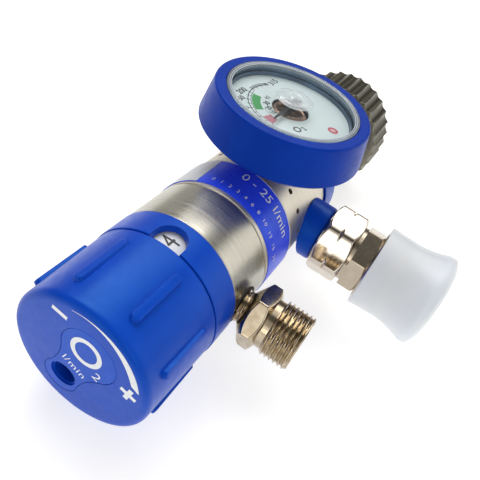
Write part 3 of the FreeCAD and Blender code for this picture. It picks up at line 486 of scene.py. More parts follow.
dial_white = moulded("dial_paint", (0.90, 0.95, 0.92), (0.87, 0.92, 0.89), 0.5, 0.003)
fitting = plain_metal("bright_nickel", (0.58, 0.50, 0.37), (0.38, 0.30, 0.20), 0.15)
chrome = plain_metal("chrome", (0.66, 0.59, 0.50), (0.62, 0.55, 0.46), 0.08, 0.0004)
hex_metal = plain_metal("nickel_hex", (0.52, 0.45, 0.35), (0.46, 0.39, 0.30), 0.20)
brass = plain_metal("brass", (0.70, 0.50, 0.22), (0.60, 0.42, 0.18), 0.28)
copper = plain_metal("copper", (0.46, 0.27, 0.19), (0.30, 0.17, 0.12), 0.32)
steel = plain_metal("steel", (0.55, 0.56, 0.58), (0.48, 0.49, 0.51), 0.28)
bronze = plain_metal("sintered", (0.50, 0.34, 0.18), (0.42, 0.28, 0.14), 0.6, 0.05)
wheel = plain_metal("dull_plating", (0.22, 0.205, 0.165), (0.17, 0.16, 0.125), 0.32, 0.006)


def paint_flute_shade(m):
    """Painted shade: the handwheel's hollows are darker than its crests and its hub."""
    hollow = m.add("ShaderNodeMath")
    hollow.operation = "MULTIPLY"
    m.link(m.ramp(m.off_axis(1), 21.9, 20.8), hollow.inputs[0])
    m.link(m.ramp(m.toward((0, 1, 0)), -9.6, -8.4), hollow.inputs[1])
    bright = m.bsdf.inputs["Base Color"].links[0].from_socket
    # painted shade: the hollows blend towards this near-black colour
    m.colour(m.mixed(hollow.outputs[0], bright, (0.080, 0.076, 0.052)))


# Painted shade in the handwheel's hollows.
paint_flute_shade(wheel)

milky = Nodes("milky_cap", (0.72, 0.76, 0.81), 0.34, Subsurface_Weight=0.6, Subsurface_Scale=0.004)
milky.put("Subsurface Radius", (0.9, 1.0, 1.2))
milky.colour(milky.mixed(milky.spread(milky.noise(0.1, 3)), (0.75, 0.785, 0.83), (0.70, 0.74, 0.79)))
milky.shine(milky.spread(milky.noise(0.5, 3), 0.30, 0.38))
milky.bump(milky.noise(1.5, 2), 0.003)


def clear_material(name, tint, gloss, haze, relief=0.0003):
    """Clear plastic: mostly see-through, a fixed share of gloss and of haze."""
    m = Nodes(name, tint, 0.3)
    through = m.add("ShaderNodeBsdfTransparent", Color=(*tint, 1))
    shiny = m.add("ShaderNodeBsdfGlossy", Color=(1, 1, 1, 1), Roughness=0.04)
    ripple = m.add("ShaderNodeBump", Height=m.noise(0.8, 2), Distance=relief * MM)
    m.link(ripple.outputs["Normal"], shiny.inputs["Normal"])
    m.put("Base Color", (0.8, 0.85, 0.9, 1))
    first = m.add("ShaderNodeMixShader")
    m.link(m.spread(m.noise(0.12, 2), gloss * 0.9, gloss * 1.1), first.inputs["Fac"])
    m.link(through.outputs[0], first.inputs[1])
    m.link(shiny.outputs[0], first.inputs[2])
    second = m.add("ShaderNodeMixShader")
    m.link(m.spread(m.noise(0.15, 2), haze * 0.85, haze * 1.15), second.inputs["Fac"])
    m.link(first.outputs[0], second.inputs[1])
    m.link(m.bsdf.outputs[0], second.inputs[2])
    m.link(second.outputs[0], m.out.inputs["Surface"])
    return m


lens_clear = clear_material("clear_lens", (0.93, 0.955, 0.965), 0.035, 0.012, 0.002)
lens_rim = clear_material("clear_rim", (0.60, 0.68, 0.73), 0.10, 0.22)
# painted highlight: a hazy pale material for the rings along the cover's edges
lens_edge = clear_material("painted_edge_highlight", (0.90, 0.93, 0.95), 0.12, 0.60)
lens_boss = clear_material("clear_boss", (0.95, 0.97, 0.96), 0.07, 0.30)


def dress(obj, material, body, slot, *nodes):
    """Gives a piece its material, its body and the CAD nodes that it stands for."""
    obj.data.materials.clear()
    obj.data.materials.append(material.mat)
    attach(obj, body)
    if nodes:
        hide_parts(*nodes)
    return obj


# Knob

RIBS = [22.5 + 45 * k for k in range(8)]       # degrees from the top
KNOB_LEN, KNOB_ROUND = 26.6, 4.4
RIB_FRONT, RIB_BACK = -19.9, -5.6              # stations between which a rib has its full width
RIB_HALF, RIB_EDGE = 1.42, 0.30                # half width at the foot, and how wide its side is
RIB_TOP = 20.68
RIB_RUN = 20.3             # radius at which distances across a rib are measured
FRONT_PRINT = 0.03         # how far the marks stand off the knob's front


def rib_relief(h, r, a):
    """Raises eight rounded grip ribs on the knob's side."""
    out = r.copy()
    side = r > 19.0
    for centre in RIBS:
        across = ((a - rad(centre) + math.pi) % (2 * math.pi) - math.pi) * RIB_RUN
        along = np.maximum(np.maximum(RIB_FRONT - h, h - RIB_BACK), 0)
        far = np.hypot(across, along)
        t = np.clip((RIB_HALF - far) / RIB_EDGE, 0, 1)
        rise = t * t * (3 - 2 * t)
        top = RIB_TOP - 0.10 * np.clip(far / 1.3, 0, 1) ** 2
        out = np.where(side & (top > r), np.maximum(out, r + (top - r) * rise), out)
    return h, out


KNOB_SIDE = ([(0, 20.0, 0.25)] + [(-h, 20.0 - 0.5 * h / 22.2) for h in np.arange(3.6, 22.2, 0.25)]
             + [(-22.2, 19.5), (-KNOB_LEN, 19.5, KNOB_ROUND), (-KNOB_LEN, 8), (-KNOB_LEN, 0)])
side_line = rounded([(1, 20.0)] + KNOB_SIDE, False, 10)[::-1]
side_line = [p for p in side_line if p[0] < -20]


def face_depth(r):
    """Station of the knob's rounded front at a radius."""
    return np.interp(r, [p[1] for p in side_line], [p[0] for p in side_line])


def knob_angles():
    """Even angles round the knob, with finer ones across each rib."""
    angles = [k * 2 * math.pi / 120 for k in range(120)]
    for centre in RIBS:
        angles += [rad(centre) + d / RIB_RUN for d in np.linspace(-1.6, 1.6, 33)]
    return np.unique(np.round(np.mod(angles, 2 * math.pi), 5))


FACE_SWING = rad(24)       # the plate's axis, from the top towards the outlets
BIG_V, WAIST_V, EYE_V, SMALL_V = 6.0, -3.8, -8.6, -10.2        # places along that axis


def in_face(u, v, w):
    """Point at station w of plate coordinates: v up the plate's axis, u to the right."""
    x = u * math.cos(FACE_SWING) + v * math.sin(FACE_SWING)
    return (x, SEAM + w, -u * math.sin(FACE_SWING) + v * math.cos(FACE_SWING))


def on_plate(u, v):
    """Place of print on the plate."""
    return in_face(u, v, -KNOB_LEN - 0.01)


def on_front(x, z):
    """Place of print on the knob's rounded front."""
    return (x, SEAM + float(face_depth(math.hypot(x, z))) - FRONT_PRINT, z)


def arc_through(a, b, c, n=28):
    """Arc from a over b to c, without its last point."""
    sa, sb, sc = (p[0] ** 2 + p[1] ** 2 for p in (a, b, c))
    d = 2 * (a[0] * (b[1] - c[1]) + b[0] * (c[1] - a[1]) + c[0] * (a[1] - b[1]))
    ux = (sa * (b[1] - c[1]) + sb * (c[1] - a[1]) + sc * (a[1] - b[1])) / d
    uy = (sa * (c[0] - b[0]) + sb * (a[0] - c[0]) + sc * (b[0] - a[0])) / d
    r = math.hypot(a[0] - ux, a[1] - uy)
    start, end = (math.atan2(p[1] - uy, p[0] - ux) for p in (a, c))
    way = 1 if (b[0] - a[0]) * (c[1] - b[1]) - (b[1] - a[1]) * (c[0] - b[0]) > 0 else -1
    sweep = (way * (end - start)) % (2 * math.pi)
    angles = [start + way * sweep * k / n for k in range(n)]
    return [(ux + r * math.cos(t), uy + r * math.sin(t)) for t in angles]


def plate_outline(grow=0.0):
    """Large and small round joined by a waist."""
    big, small, waist, spread = 7.7 + grow, 4.9 + grow, 4.5 + grow, rad(35)
    bx, by = big * math.cos(spread), BIG_V - big * math.sin(spread)
    sx, sy = small * math.cos(spread / 2), SMALL_V + small * math.sin(spread / 2)
    return (arc_through((bx, by), (0, BIG_V + big), (-bx, by))
            + arc_through((-bx, by), (-waist, WAIST_V), (-sx, sy))
            + arc_through((-sx, sy), (0, SMALL_V - small), (sx, sy))
            + arc_through((sx, sy), (waist, WAIST_V), (bx, by)))


PLATE_LOW, PLATE_HIGH = -KNOB_LEN + 0.58, -KNOB_LEN + 0.02      # stations of the plate's back and face
PLATE_ROOM = 0.04          # clearance behind the plate

knob = turned("knob", [(0, 17.9)] + KNOB_SIDE + [
    (-19.5, 0), (-19.5, 7.5), (-23.6, 7.6), (-23.6, 14), (-22.2, 16.7), (-3.3, 17.4), (-3.3, 17.9)],
    on_main, knob_angles(), step=1.6, warp=rib_relief, steps=10)
cut(knob,
    prism("cut_plate", plate_outline(0.10), -KNOB_LEN - 1, PLATE_LOW + PLATE_ROOM, in_face),
    prism("cut_eye", circle(3.2, 48, 0, EYE_V), -KNOB_LEN - 1, -KNOB_LEN + 6.0, in_face))
dress(knob, blue, "selector", "blue_plastic", "knob")

plate = prism("face_plate", plate_outline(), PLATE_HIGH, PLATE_LOW, in_face, bevel=0.12)
applied(plate)
cut(plate, prism("cut_eye_2", circle(3.7, 48, 0, EYE_V), -KNOB_LEN - 1, -KNOB_LEN + 1.0, in_face))
dress(plate, blue_plate, "selector", "dark_blue_plastic", "face_plate")

# White marks on the knob's face

def minus_mark():
    """Short bar near the crescent's thin end."""
    rows = []
    for k in range(9):
        t = k / 8
        x, z = -8.5 + 4.2 * t, 13.8 - 0.72 * t
        rows.append([on_front(x + 0.10 * w, z + 0.62 * w) for w in np.linspace(-1, 1, 5)])
    return strip("mark_minus", rows)


def plus_bar(along, across, start, end):
    """One bar of the plus, from start to end along its direction."""
    rows = []
    for t in np.linspace(start, end, 9):
        rows.append([on_front(14.0 + along[0] * t + across[0] * w, 2.9 + along[1] * t + across[1] * w)
                     for w in np.linspace(-0.62, 0.62, 5)])
    return strip("plus_bar", rows)


def crescent_mark():
    """Band that widens clockwise and ends in a blunt tip."""
    rows = []
    for k in range(61):
        t = k / 60
        angle = rad(101.5) - rad(101.5 - 19.0) * t
        tip = 1 if t < 0.93 else 1 - (t - 0.93) / 0.07 * 0.9
        width = 0.12 + 1.75 * math.sin(min(1.0, t * 1.12) * math.pi * 0.5) ** 2.2 * tip
        outer = 17.35 + 0.55 * math.sin(math.pi * t)
        rows.append([on_front((outer - width * w) * math.cos(angle), (outer - width * w) * math.sin(angle))
                     for w in np.linspace(0, 1, 7)])
    return strip("mark_crescent", rows)


def gas_mark():
    """The O2 and its unit on the plate."""
    ring = []
    for t in np.linspace(0, 2 * math.pi, 65):
        ring.append([on_plate(-0.95 + k * math.cos(t), 6.4 + k * 1.04 * math.sin(t))
                     for k in (3.05, 3.5, 3.95, 4.35)])
    return merged("mark_gas", strip("gas_o", ring),
                  letters("gas_2", "2", 4.3, lambda u, v: on_plate(4.85 + u, 2.7 + v)),
                  letters("gas_unit", "l/min", 3.3, lambda u, v: on_plate(0.0 + u, -1.9 + v), spread=1.1))


dress(minus_mark(), white_print, "selector", "white_plastic")
tilted, upright = (0.97, -0.26), (0.26, 0.97)
dress(merged("mark_plus", plus_bar(upright, tilted, -2.2, 2.2), plus_bar(tilted, upright, -2.2, -0.62),
            plus_bar(tilted, upright, 0.62, 2.2)), white_print, "selector", "white_plastic")
dress(crescent_mark(), white_print, "selector", "white_plastic")
dress(gas_mark(), white_print, "selector", "white_plastic")

# Number drum and window collar

FLOWS = ("0", "1", "2", "3", "4", "6", "8", "10", "12", "15", "25")


def drum_number(value, angle):
    """Flow number on the drum, smaller and narrower where it has two digits."""
    size, narrow = (7.6, 0.84) if len(value) < 2 else (5.4, 0.72)
    return letters("number", value, size, lambda u, v: on_main(3.6 + narrow * u, 17.90, angle - v / 17.9),
                   detail=0.6, bold=0.02)


drum = turned("number_drum", [
    (7.5, 16.35, 0.1), (7.5, 17.85, 0.15), (-3.2, 17.85), (-3.2, 7.6), (-0.6, 7.6), (-0.6, 16.35)],
    on_main, 120, step=1.0)
dress(drum, white, "selector", "white_plastic", "number_drum")
numbers = [drum_number(value, rad(30 * (4 - k) - 2.4)) for k, value in enumerate(FLOWS)]
dress(merged("flow_numbers", *numbers), black_print, "selector", "white_plastic")


def window_outline(grow, n=32):
    """Window with a round top, a little to the left of the middle."""
    half, top = 4.1 + grow, 6.8 + grow / 2
    arc = [(half * math.cos(t) - 0.2, top - half + half * math.sin(t)) for t in np.linspace(0, math.pi, n)]
    return [(half - 0.2, -3)] + arc + [(-half - 0.2, -3)]


def in_window(u, v, w):
    """Point at height w over the window's outline."""
    return (u, SEAM + v, w)


collar = turned("window_collar", [
    (0.3, 18.35), (0.3, 20.25, 0.25), (9.55, 20.25, 0.3), (9.55, 16.1), (7.9, 16.1), (7.9, 18.35)],
    on_main, 240, step=1.2)
cut(collar, prism("cut_window", window_outline(0), 17.85, 20.65, in_window, top=window_outline(0.7)))
dress(collar, blue, "regulator", "blue_plastic", "window_collar")

# Front housing

def side_plug(low, high, radius, y):
    """Cutter for a bore from the outlets' side."""
    return prism("plug", circle(radius, 64), low, high, lambda u, v, w: (w, y + u, v))


housing = turned("front_housing", [
    (1.5, 3.05), (1.5, 15.9, 0.4), (9.6, 15.9), (9.6, 20.1, 0.15), (26.25, 20.1, 0.12), (26.55, 19.75),
    (26.55, 15.2), (12, 15.2), (12, 3.05)], on_main, 192, step=4.0)
cut(housing, side_plug(10, 22, 5.1, FLOW_Y), side_plug(18.4, 22, 5.9, FLOW_Y))
dress(housing, body_metal, "regulator", "bright_nickel", "front_housing")

# Main body

VENTS = 18                 # holes round the body, the first at 16 degrees


def vent(angle):
    """Cutter for one vent hole at an angle from the top."""
    s, c = math.sin(angle), math.cos(angle)
    return prism("vent", circle(0.95, 20), 12.0, 21.5,
                 lambda u, v, w: (w * s + u * c, SEAM + 50.4 + v, w * c - u * s))


body = turned("main_body", [
    (18.7, 13.0), (18.7, 15.1), (26.6, 15.1), (26.6, 19.75), (26.95, 20.1, 0.1), (43.3, 20.1, 0.1),
    (43.9, 19.6, 0.1), (70.5, 19.6, 0.1), (71.0, 19.1), (71.0, 15.0), (79, 15.0), (79, 6.0), (53.6, 6.0),
    (53.6, 4.1), (45, 4.1), (45, 6.2), (52, 6.2), (52, 13.0)], on_main, 216, step=4.0)
vents = merged("vents", *[vent(rad(16 + 360 / VENTS * k)) for k in range(VENTS)])
top_plug = prism("top_plug", circle(8.4, 64), 19.0, 22, lambda u, v, w: (u, GAUGE_Y + v, w))
cut(body, vents, top_plug, side_plug(11, 22, 6.55, COUPLING_Y))
dress(body, main_metal, "regulator", "brushed_nickel", "main_body")

# Printed band

LABEL_R = 20.28            # the film's outer radius; fields and words lie just over it


def on_label(h, angle, u, v):
    """Place of print on the band, u along its words and v up its letters."""
    return on_main(h + v, LABEL_R + 0.06, rad(angle) + u / 20.3)


def band(name, low, high, start, end, n=40):
    """Printed field between two stations and two angles in degrees."""
    rows = []
    for k in range(n + 1):
        angle = rad(start + (end - start) * k / n)
        rows.append([on_main(low + (high - low) * w, LABEL_R + 0.05, angle) for w in (0, 0.5, 1)])
    return strip(name, rows)


label = turned("body_label", [
    (28.2, 20.11), (28.2, LABEL_R, 0.05), (42.6, LABEL_R, 0.05), (42.6, 20.11)], on_main, 192, step=4.0)
dress(label, blue_film, "regulator", "blue_print", "body_label")
dress(band("label_panel", 28.3, 42.5, -28, -72), panel, "regulator", "blue_print")
dress(band("label_edge", 42.15, 42.45, -28, 132, n=120), white_print, "regulator", "blue_print")
dress(merged(
    "label_words",
    letters("label_range", "0 - 25 l/min", 4.6, lambda u, v: on_label(38.6, 30, u, v),
            detail=0.7, spread=1.05),
    letters("label_numbers", "  ".join(FLOWS), 2.0, lambda u, v: on_label(31.4, 28, u, v),
            detail=0.7, spread=1.2)),
    white_print, "regulator", "blue_print")

# Guard ring and inlet stem

guard = turned("guard_ring", [
    (71.05, 15.05), (71.05, 20.3, 0.35), (80.5, 20.3, 1.5), (80.5, 12.2, 0.2), (79.0, 12.2), (79.0, 15.05)],
    on_main, 144, step=3.0, steps=6)
dress(guard, blue, "regulator", "blue_plastic", "guard_ring")

stem = merged(
    "inlet_stem",
    turned("stem_round", [
        (67, 2.5), (67, 5.9), (79.05, 5.9), (79.05, 11.9), (81.05, 11.9), (81.05, 10.5), (88, 10.0, 0.2),
        (101, 10.0, 0.5), (104, 8.5, 0.5), (108.8, 8.5), (108.8, 7.8), (109.8, 7.8), (109.8, 8.5),
        (124.9, 8.5), (124.9, 11.3, 0.2), (127.6, 11.3, 0.2), (127.6, 8.0), (130.0, 8.0, 0.4), (130.0, 6.4),
        (129.5, 6.4), (129.5, 4.0), (121.5, 4.0), (121.5, 2.5)], on_main, 96, step=3.0),
    turned("stem_hex", [
        (81.05, 9), (81.05, 10.7), (82.2, 12.9), (86.9, 12.9), (88.05, 10.7), (88.05, 9)],
        on_main, 240, step=0.3, warp=hexed(22, 90)))
dress(stem, main_metal, "regulator", "brushed_nickel", "inlet_stem")

# Handwheel

TEETH = 30
CREST_R, HOLLOW_R = 22.0, 20.65
FIRST_CREST = 0.5          # degrees
half_pitch = rad(180 / TEETH)
chord = CREST_R * math.sin(half_pitch)
sag = CREST_R * math.cos(half_pitch) - HOLLOW_R
scoop = (chord ** 2 + sag ** 2) / (2 * sag)            # radius of one hollow


def scoops(h, r, a):
    """Round scoops that leave softened crests on the handwheel's rim."""
    d = (a - rad(FIRST_CREST) + half_pitch) % (2 * half_pitch) - half_pitch
    d = half_pitch - np.abs(d)
    c = HOLLOW_R + scoop
    hollow = c * np.cos(d) - np.sqrt(np.maximum(scoop ** 2 - (c * np.sin(d)) ** 2, 0))
    soft = -0.20 * np.exp(-((half_pitch - d) / rad(1.3)) ** 2)
    return h, np.where(r > 20.0, np.minimum(r, hollow + soft), r)


def rim_angles():
    """Angles round the rim, finer near each crest."""
    near = (-6, -5, -4, -3, -2, -1.3, -0.8, -0.4, 0, 0.4, 0.8, 1.3, 2, 3, 4, 5)
    angles = [rad(FIRST_CREST + 360 / TEETH * k + d) for k in range(TEETH) for d in near]
    return np.unique(np.round(np.mod(angles, 2 * math.pi), 5))


hand = turned("handwheel", [
    (110.0, 8.6), (110.0, 13.4, 0.8), (118, 14.6, 1.5), (121, 17.6, 0.6), (121, 20.25), (122.1, CREST_R),
    (137.4, CREST_R), (138.5, 20.45), (138.5, 13.3, 0.2), (137.3, 12.06), (124.6, 12.06), (124.6, 8.6)],
    on_main, rim_angles(), step=1.0, warp=scoops)
dress(hand, wheel, "handwheel", "wheel_metal", "handwheel")

# Gauge

bumper = turned("gauge_bumper", [
    (27.3, 8.0), (27.3, 24.4, 0.3), (28.5, 25.6, 0.5), (39.8, 23.55, 0.9), (39.8, 20.3, 0.3), (29.3, 20.25),
    (29.3, 8.0)], on_gauge, 160, step=2.0, steps=6)
dress(bumper, blue_soft, "regulator", "blue_rubber", "gauge_bumper")

case = turned("gauge_case", [
    (29.35, 6.05), (29.35, 20.2), (38.6, 20.2), (38.6, 19.1), (30.45, 19.1), (30.45, 6.05)], on_gauge, 144)
dress(case, gauge_metal, "regulator", "steel", "gauge_case")

gauge_stem = merged(
    "gauge_stem",
    turned("gauge_round", [
        (11.6, 1.2), (11.6, 4.75, 0.3), (20, 4.75), (20, 5.9), (31.9, 5.95, 0.3), (31.9, 0), (30.7, 0),
        (30.7, 1.2)], on_gauge, 72),
    turned("gauge_hex", [
        (19.05, 5), (19.05, 6.8), (19.8, 8.2), (26.1, 8.2), (26.9, 6.8), (26.9, 5)],
        on_gauge, 216, step=0.4, warp=hexed(14, 0)))
dress(gauge_stem, brass, "regulator", "brass", "gauge_stem")

COIL_R, COIL_Z, COIL_RISE = 4.6, 33.0, 2.75    # radius, height of its start, rise in two turns
coil = [(COIL_R * math.cos(t), GAUGE_Y + COIL_R * math.sin(t), COIL_Z + COIL_RISE * t / (4 * math.pi))
        for t in np.linspace(0, 4 * math.pi, 97)]
dress(tube_along("bourdon_tube", coil, 0.93, 14), copper, "regulator", "copper", "bourdon_tube")

dial = turned("gauge_dial", [
    (35.8, 5.7), (36.2, 5.7, 0.05), (36.2, 18.3), (37.3, 18.6), (37.3, 19.0), (35.0, 19.0), (35.0, 18.2),
    (35.8, 18.2)], on_gauge, 144)
dress(dial, dial_white, "regulator", "white_plastic", "gauge_dial")
dial_wall = turned("dial_wall", [(36.21, 18.28), (37.4, 18.55), (37.4, 19.0), (36.21, 18.5)], on_gauge, 144)
dress(dial_wall, gauge_metal, "regulator", "steel")

# Print on the dial; angles are in degrees from +X towards the valve

DIAL_PRINT = 36.215        # height of the print
ZERO, FULL, TOP = -88.5, -211.5, 315           # angles of the scale's ends, and its last number
DIAL_TEXTS = (
    ("315", 2.8, -11.1, 9.4), ("200", 2.8, -14.4, -4.8), ("150", 2.5, -12.4, -8.9), ("100", 1.6, -8.7, -12.0),
    ("40", 2.2, -7.7, -0.8), ("30", 2.2, -6.3, -3.7), ("20", 2.2, -4.6, -5.5), ("10", 2.2, -2.6, -6.3))


def on_dial(x, y, z=DIAL_PRINT):
    """Place on the dial, from its middle."""
    return (x, GAUGE_Y + y, z)


def dial_arc(name, inner, outer, start, end, n=48):
    """Printed arc between two radii."""
    rows = []
    for k in range(n + 1):
        t = rad(start + (end - start) * k / n)
        rows.append([on_dial(r * math.cos(t), r * math.sin(t)) for r in (inner, (inner + outer) / 2, outer)])
    return strip(name, rows)


def dial_text(text, size, x, y, bold=0.075):
    """Print that reads away from the knob."""
    return letters("dial_text", text, size, lambda u, v: on_dial(x - v, y + u), bold=bold)


def dial_at(value):
    """Angle of a pressure on the scale."""
    return ZERO + (FULL - ZERO) * value / TOP


def dial_ticks(values, inner, outer, half):
    """Marks at pressures; half is half a mark's width in degrees."""
    return [dial_arc("tick", inner, outer, dial_at(v) - half, dial_at(v) + half, 2) for v in values]


def dial_spot(name, inner, outer, z):
    """Round spot or ring of print at the dial's right side."""
    rows = []
    for t in np.linspace(0, 2 * math.pi, 33):
        rows.append([on_dial(13.6 + k * math.cos(t), 1.8 + k * math.sin(t), z)
                     for k in (inner, (inner + outer) / 2, outer)])
    return strip(name, rows)


black = [dial_arc("scale", 12.8, 13.08, ZERO, FULL), dial_arc("zone_edge", 11.93, 12.1, ZERO, dial_at(215)),
         dial_arc("inner_scale", 8.55, 8.7, ZERO, dial_at(100))]
black += dial_ticks(range(0, 316, 50), 12.1, 13.9, 0.5)
black += dial_ticks(range(25, 316, 50), 12.1, 13.4, 0.5)
black += dial_ticks(range(225, 312, 6), 12.9, 14.0, 0.55)
black += [dial_text(*row) for row in DIAL_TEXTS]
black += [dial_text("O", 3.3, 6.2, -7.9, 0.09), dial_text("2", 2.3, 7.3, -5.75, 0.07)]
dress(merged("dial_black", *black), black_print, "regulator", "white_plastic")
dress(dial_arc("dial_green", 9.2, 11.75, -123.5, -166), green_print, "regulator", "white_plastic")
dress(dial_arc("dial_red_zone", 8.75, 11.75, -89, -107), pink_print, "regulator", "white_plastic")
dress(dial_spot("dial_red_ring", 0.85, 1.6, 36.22), red_print, "regulator", "white_plastic")
dress(dial_spot("dial_pink_spot", 0.02, 0.86, DIAL_PRINT), pale_print, "regulator", "white_plastic")

# Pointer and clear cover

BLADE = [(0.95, 0), (0.30, -11.7), (0, -11.9), (-0.30, -11.7), (-0.95, 0), (-1.3, 4.4), (1.3, 4.4)]
pointer = merged(
    "gauge_pointer",
    prism("blade", BLADE, 37.72, 38.02, on_dial, bevel=0.06),
    turned("hub", [
        (32.1, 0), (32.1, 0.5), (37.7, 0.5), (37.7, 1.7), (38.04, 1.6, 0.1), (38.04, 0)],
        on_gauge, 40, closed=False))
dress(pointer, black_print, "pointer", "black_metal", "gauge_pointer")

lens = turned("gauge_lens", [
    (38.66, 0), (38.66, 18.75), (39.52, 18.75), (39.52, 5.2), (39.52, 0)], on_gauge, 144)
dress(lens, lens_clear, "regulator", "clear_plastic", "gauge_lens")
rim = turned("lens_rim", [
    (38.66, 18.8), (38.66, 20.15), (39.95, 20.15, 0.35), (39.95, 19.75, 0.15), (39.72, 19.6, 0.1),
    (39.72, 19.1, 0.1), (39.6, 18.8, 0.1)], on_gauge, 144)
dress(rim, lens_rim, "regulator", "clear_plastic")


def highlight_ring(h, r):
    """Thin pale ring, a painted highlight where the cover's edge catches the light."""
    return turned("edge", [
        (h - 0.12, r - 0.13, 0.05), (h - 0.12, r + 0.13, 0.05), (h + 0.12, r + 0.1, 0.1),
        (h + 0.12, r - 0.1, 0.1)], on_gauge, 144)


# Painted highlights along the cover's two edges.
edges = merged("lens_edges", highlight_ring(39.84, 19.35), highlight_ring(39.72, 18.82))
dress(edges, lens_edge, "regulator", "clear_plastic")
boss = turned("lens_boss", [
    (39.53, 0), (39.53, 5.75, 0.1), (39.75, 5.7, 0.1), (39.78, 5.35, 0.1), (40.05, 5.0, 0.3),
    (40.3, 4.2, 0.6), (40.35, 2.6, 0.4), (40.32, 2.2, 0.1), (40.18, 2.0, 0.1), (40.18, 1.4, 0.1),
    (40.32, 1.2, 0.1), (40.35, 0)], on_gauge, 72)
dress(boss, lens_boss, "regulator", "clear_plastic")

# Flow outlet

flow_place = on_outlet(FLOW_Y)
flow = merged(
    "flow_outlet",
    turned("flow_neck", [(15.5, 2.6), (15.5, 5.0), (22.0, 5.0), (22.0, 2.6)],
           flow_place, 96, step=0.125, warp=threaded(16, 21.5, 1.0, 0.5)),
    turned("flow_hex", [
        (21.3, 4.0), (21.35, 4.95), (24.5, 9.85), (27.1, 9.85), (28.4, 7.8), (28.4, 7.15, 0.1), (28.5, 4.0)],
        flow_place, 360, step=0.35, warp=hexed(17, 22, 140), turn=22),
    turned("flow_collar", [(28.3, 2.6), (28.3, 7.2), (30.3, 7.2, 0.1), (30.3, 2.6)], flow_place, 96),
    turned("flow_thread", [
        (30.2, 2.6), (30.2, 7.4), (30.5, 8.33), (38.4, 8.33), (39.0, 7.7), (39.0, 5.2, 0.1), (36.0, 2.6)],
        flow_place, 200, step=0.10, warp=threaded(30.0, 38.9, 1.337, 0.80)))
dress(flow, fitting, "regulator", "chrome", "flow_outlet")
flow_seal = turned("flow_outlet_seal", [
    (18.46, 5.06), (18.46, 5.85), (19.74, 5.84, 0.3), (19.74, 5.06)], flow_place, 64)
dress(flow_seal, rubber, "regulator", "rubber", "flow_outlet_seal")

# Quick coupling

side_place = on_outlet(COUPLING_Y)


def sloped(h, r, a):
    """The ring's back slopes down from the body."""
    return np.maximum(h, 19.82 - math.tan(rad(14)) * r * np.cos(a)), r


port = turned("port_ring", [
    (14, 7.06), (14, 9.7), (25.4, 9.7, 1.0), (25.4, 7.06)], side_place, 144, step=0.4, warp=sloped)
dress(port, blue, "regulator", "blue_plastic", "port_ring")

NUT_TURN = 37.4            # degrees from the top to a corner
nut = merged(
    "lock_nut",
    turned("nut_hex", [
        (25.9, 7.06), (25.9, 11.1), (26.8, 12.25), (30.6, 12.25), (31.1, 11.6), (31.6, 12.25), (35.4, 12.25),
        (36.3, 11.1), (36.3, 7.06)],
        side_place, 288, step=0.25, warp=hexed(22, NUT_TURN, 110), turn=NUT_TURN),
    turned("nut_washer", [(25.46, 7.06), (25.46, 8.7, 0.1), (26.1, 8.7), (26.1, 7.06)], side_place, 96))
dress(nut, chrome, "regulator", "chrome", "lock_nut")

HEX_TURN = 2.6             # degrees from the top to a corner
coupling = merged(
    "coupling_body",
    turned("coupling_round", [
        (11.4, 1.8), (11.4, 6.45), (20.6, 6.45), (20.6, 6.98), (36.36, 6.98), (36.36, 9.6, 0.15), (38.6, 9.6),
        (43.3, 9.6), (43.35, 11.8), (56.75, 11.8), (57.9, 10.6), (57.9, 7.0), (57.1, 6.0), (44.55, 6.0),
        (44.55, 2.9), (43.4, 2.9), (43.4, 5.0), (30.4, 5.0), (30.4, 1.8)], side_place, 96, step=3.0),
    turned("coupling_hex", [
        (37.6, 8.5), (37.6, 11.7), (37.61, 11.9), (42.4, 11.9), (43.35, 9.8), (43.35, 8.5)],
        side_place, 288, step=0.25, warp=hexed(20, HEX_TURN, 110), turn=HEX_TURN))
dress(coupling, hex_metal, "regulator", "bright_nickel", "coupling_body")


def cap_radius(t):
    """Outer radius of the cap along it, 0 to 1: it narrows to a waist, then flares."""
    flare = 0 if t < 0.42 else 2.15 * ((t - 0.42) / 0.58) ** 2.1
    return 14.1 - 0.5 * math.sin(min(t / 0.62, 1) * math.pi / 2) + flare


cap_side = [(43.65 + 19.4 * t, cap_radius(t)) for t in np.linspace(0.04, 1, 22)]
cap = turned("coupling_cap", [(43.65, 12.4), (43.65, 14.1, 0.3)] + cap_side + [
    (65.2, 15.65, 0.9), (66.4, 13.2, 0.8), (66.4, 0), (62.5, 0), (62.5, 11.3), (61.9, 11.9), (44.2, 11.9)],
    side_place, 160, step=1.5)
dress(cap, milky, "cap", "milky_plastic", "coupling_cap")

# CAD nodes that keep their own meshes

KEPT_NODES = {
    "knob_screw": steel, "spindle": brass, "orifice_disc": brass, "click_ball": steel, "click_spring": steel,
    "spindle_seal": rubber, "seat_plate": brass, "piston": brass, "piston_seal": rubber,
    "piston_spring": steel, "inlet_nozzle": brass, "inlet_filter": bronze, "inlet_seal": white,
    "wheel_clip": steel, "check_valve": brass, "check_spring": steel}
for name, material in KEPT_NODES.items():
    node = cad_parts[name]
    node.data.materials.clear()
    node.data.materials.append(material.mat)

# Floor

HALF, FLOOR_Z = 3.0, -0.0221                   # metres, just under the object's lowest point
LEFT = (-0.67, -0.742, 0)  # along the floor to the left of the photograph, where it glows less
floor_me = bpy.data.meshes.new("floor")
corners = [(x * HALF, y * HALF, FLOOR_Z) for x, y in ((-1, -1), (1, -1), (1, 1), (-1, 1))]
floor_me.from_pydata(corners, [], [(0, 1, 2, 3)])
floor = bpy.data.objects.new("floor", floor_me)
bpy.context.scene.collection.objects.link(floor)
pale = Nodes("pale_floor", (0.60, 0.60, 0.60), 0.6)
pale.colour(pale.mixed(pale.noise(0.02, 2), (0.60, 0.60, 0.59), (0.58, 0.58, 0.57)))
pale.put("Emission Color", (1.0, 0.995, 0.985, 1))
pale.link(pale.ramp(pale.toward(LEFT), 172, 420, 0.66, 0.2), pale.bsdf.inputs["Emission Strength"])
floor_me.materials.append(pale.mat)

# Studio light: soft bright patches of the world, and two lamps

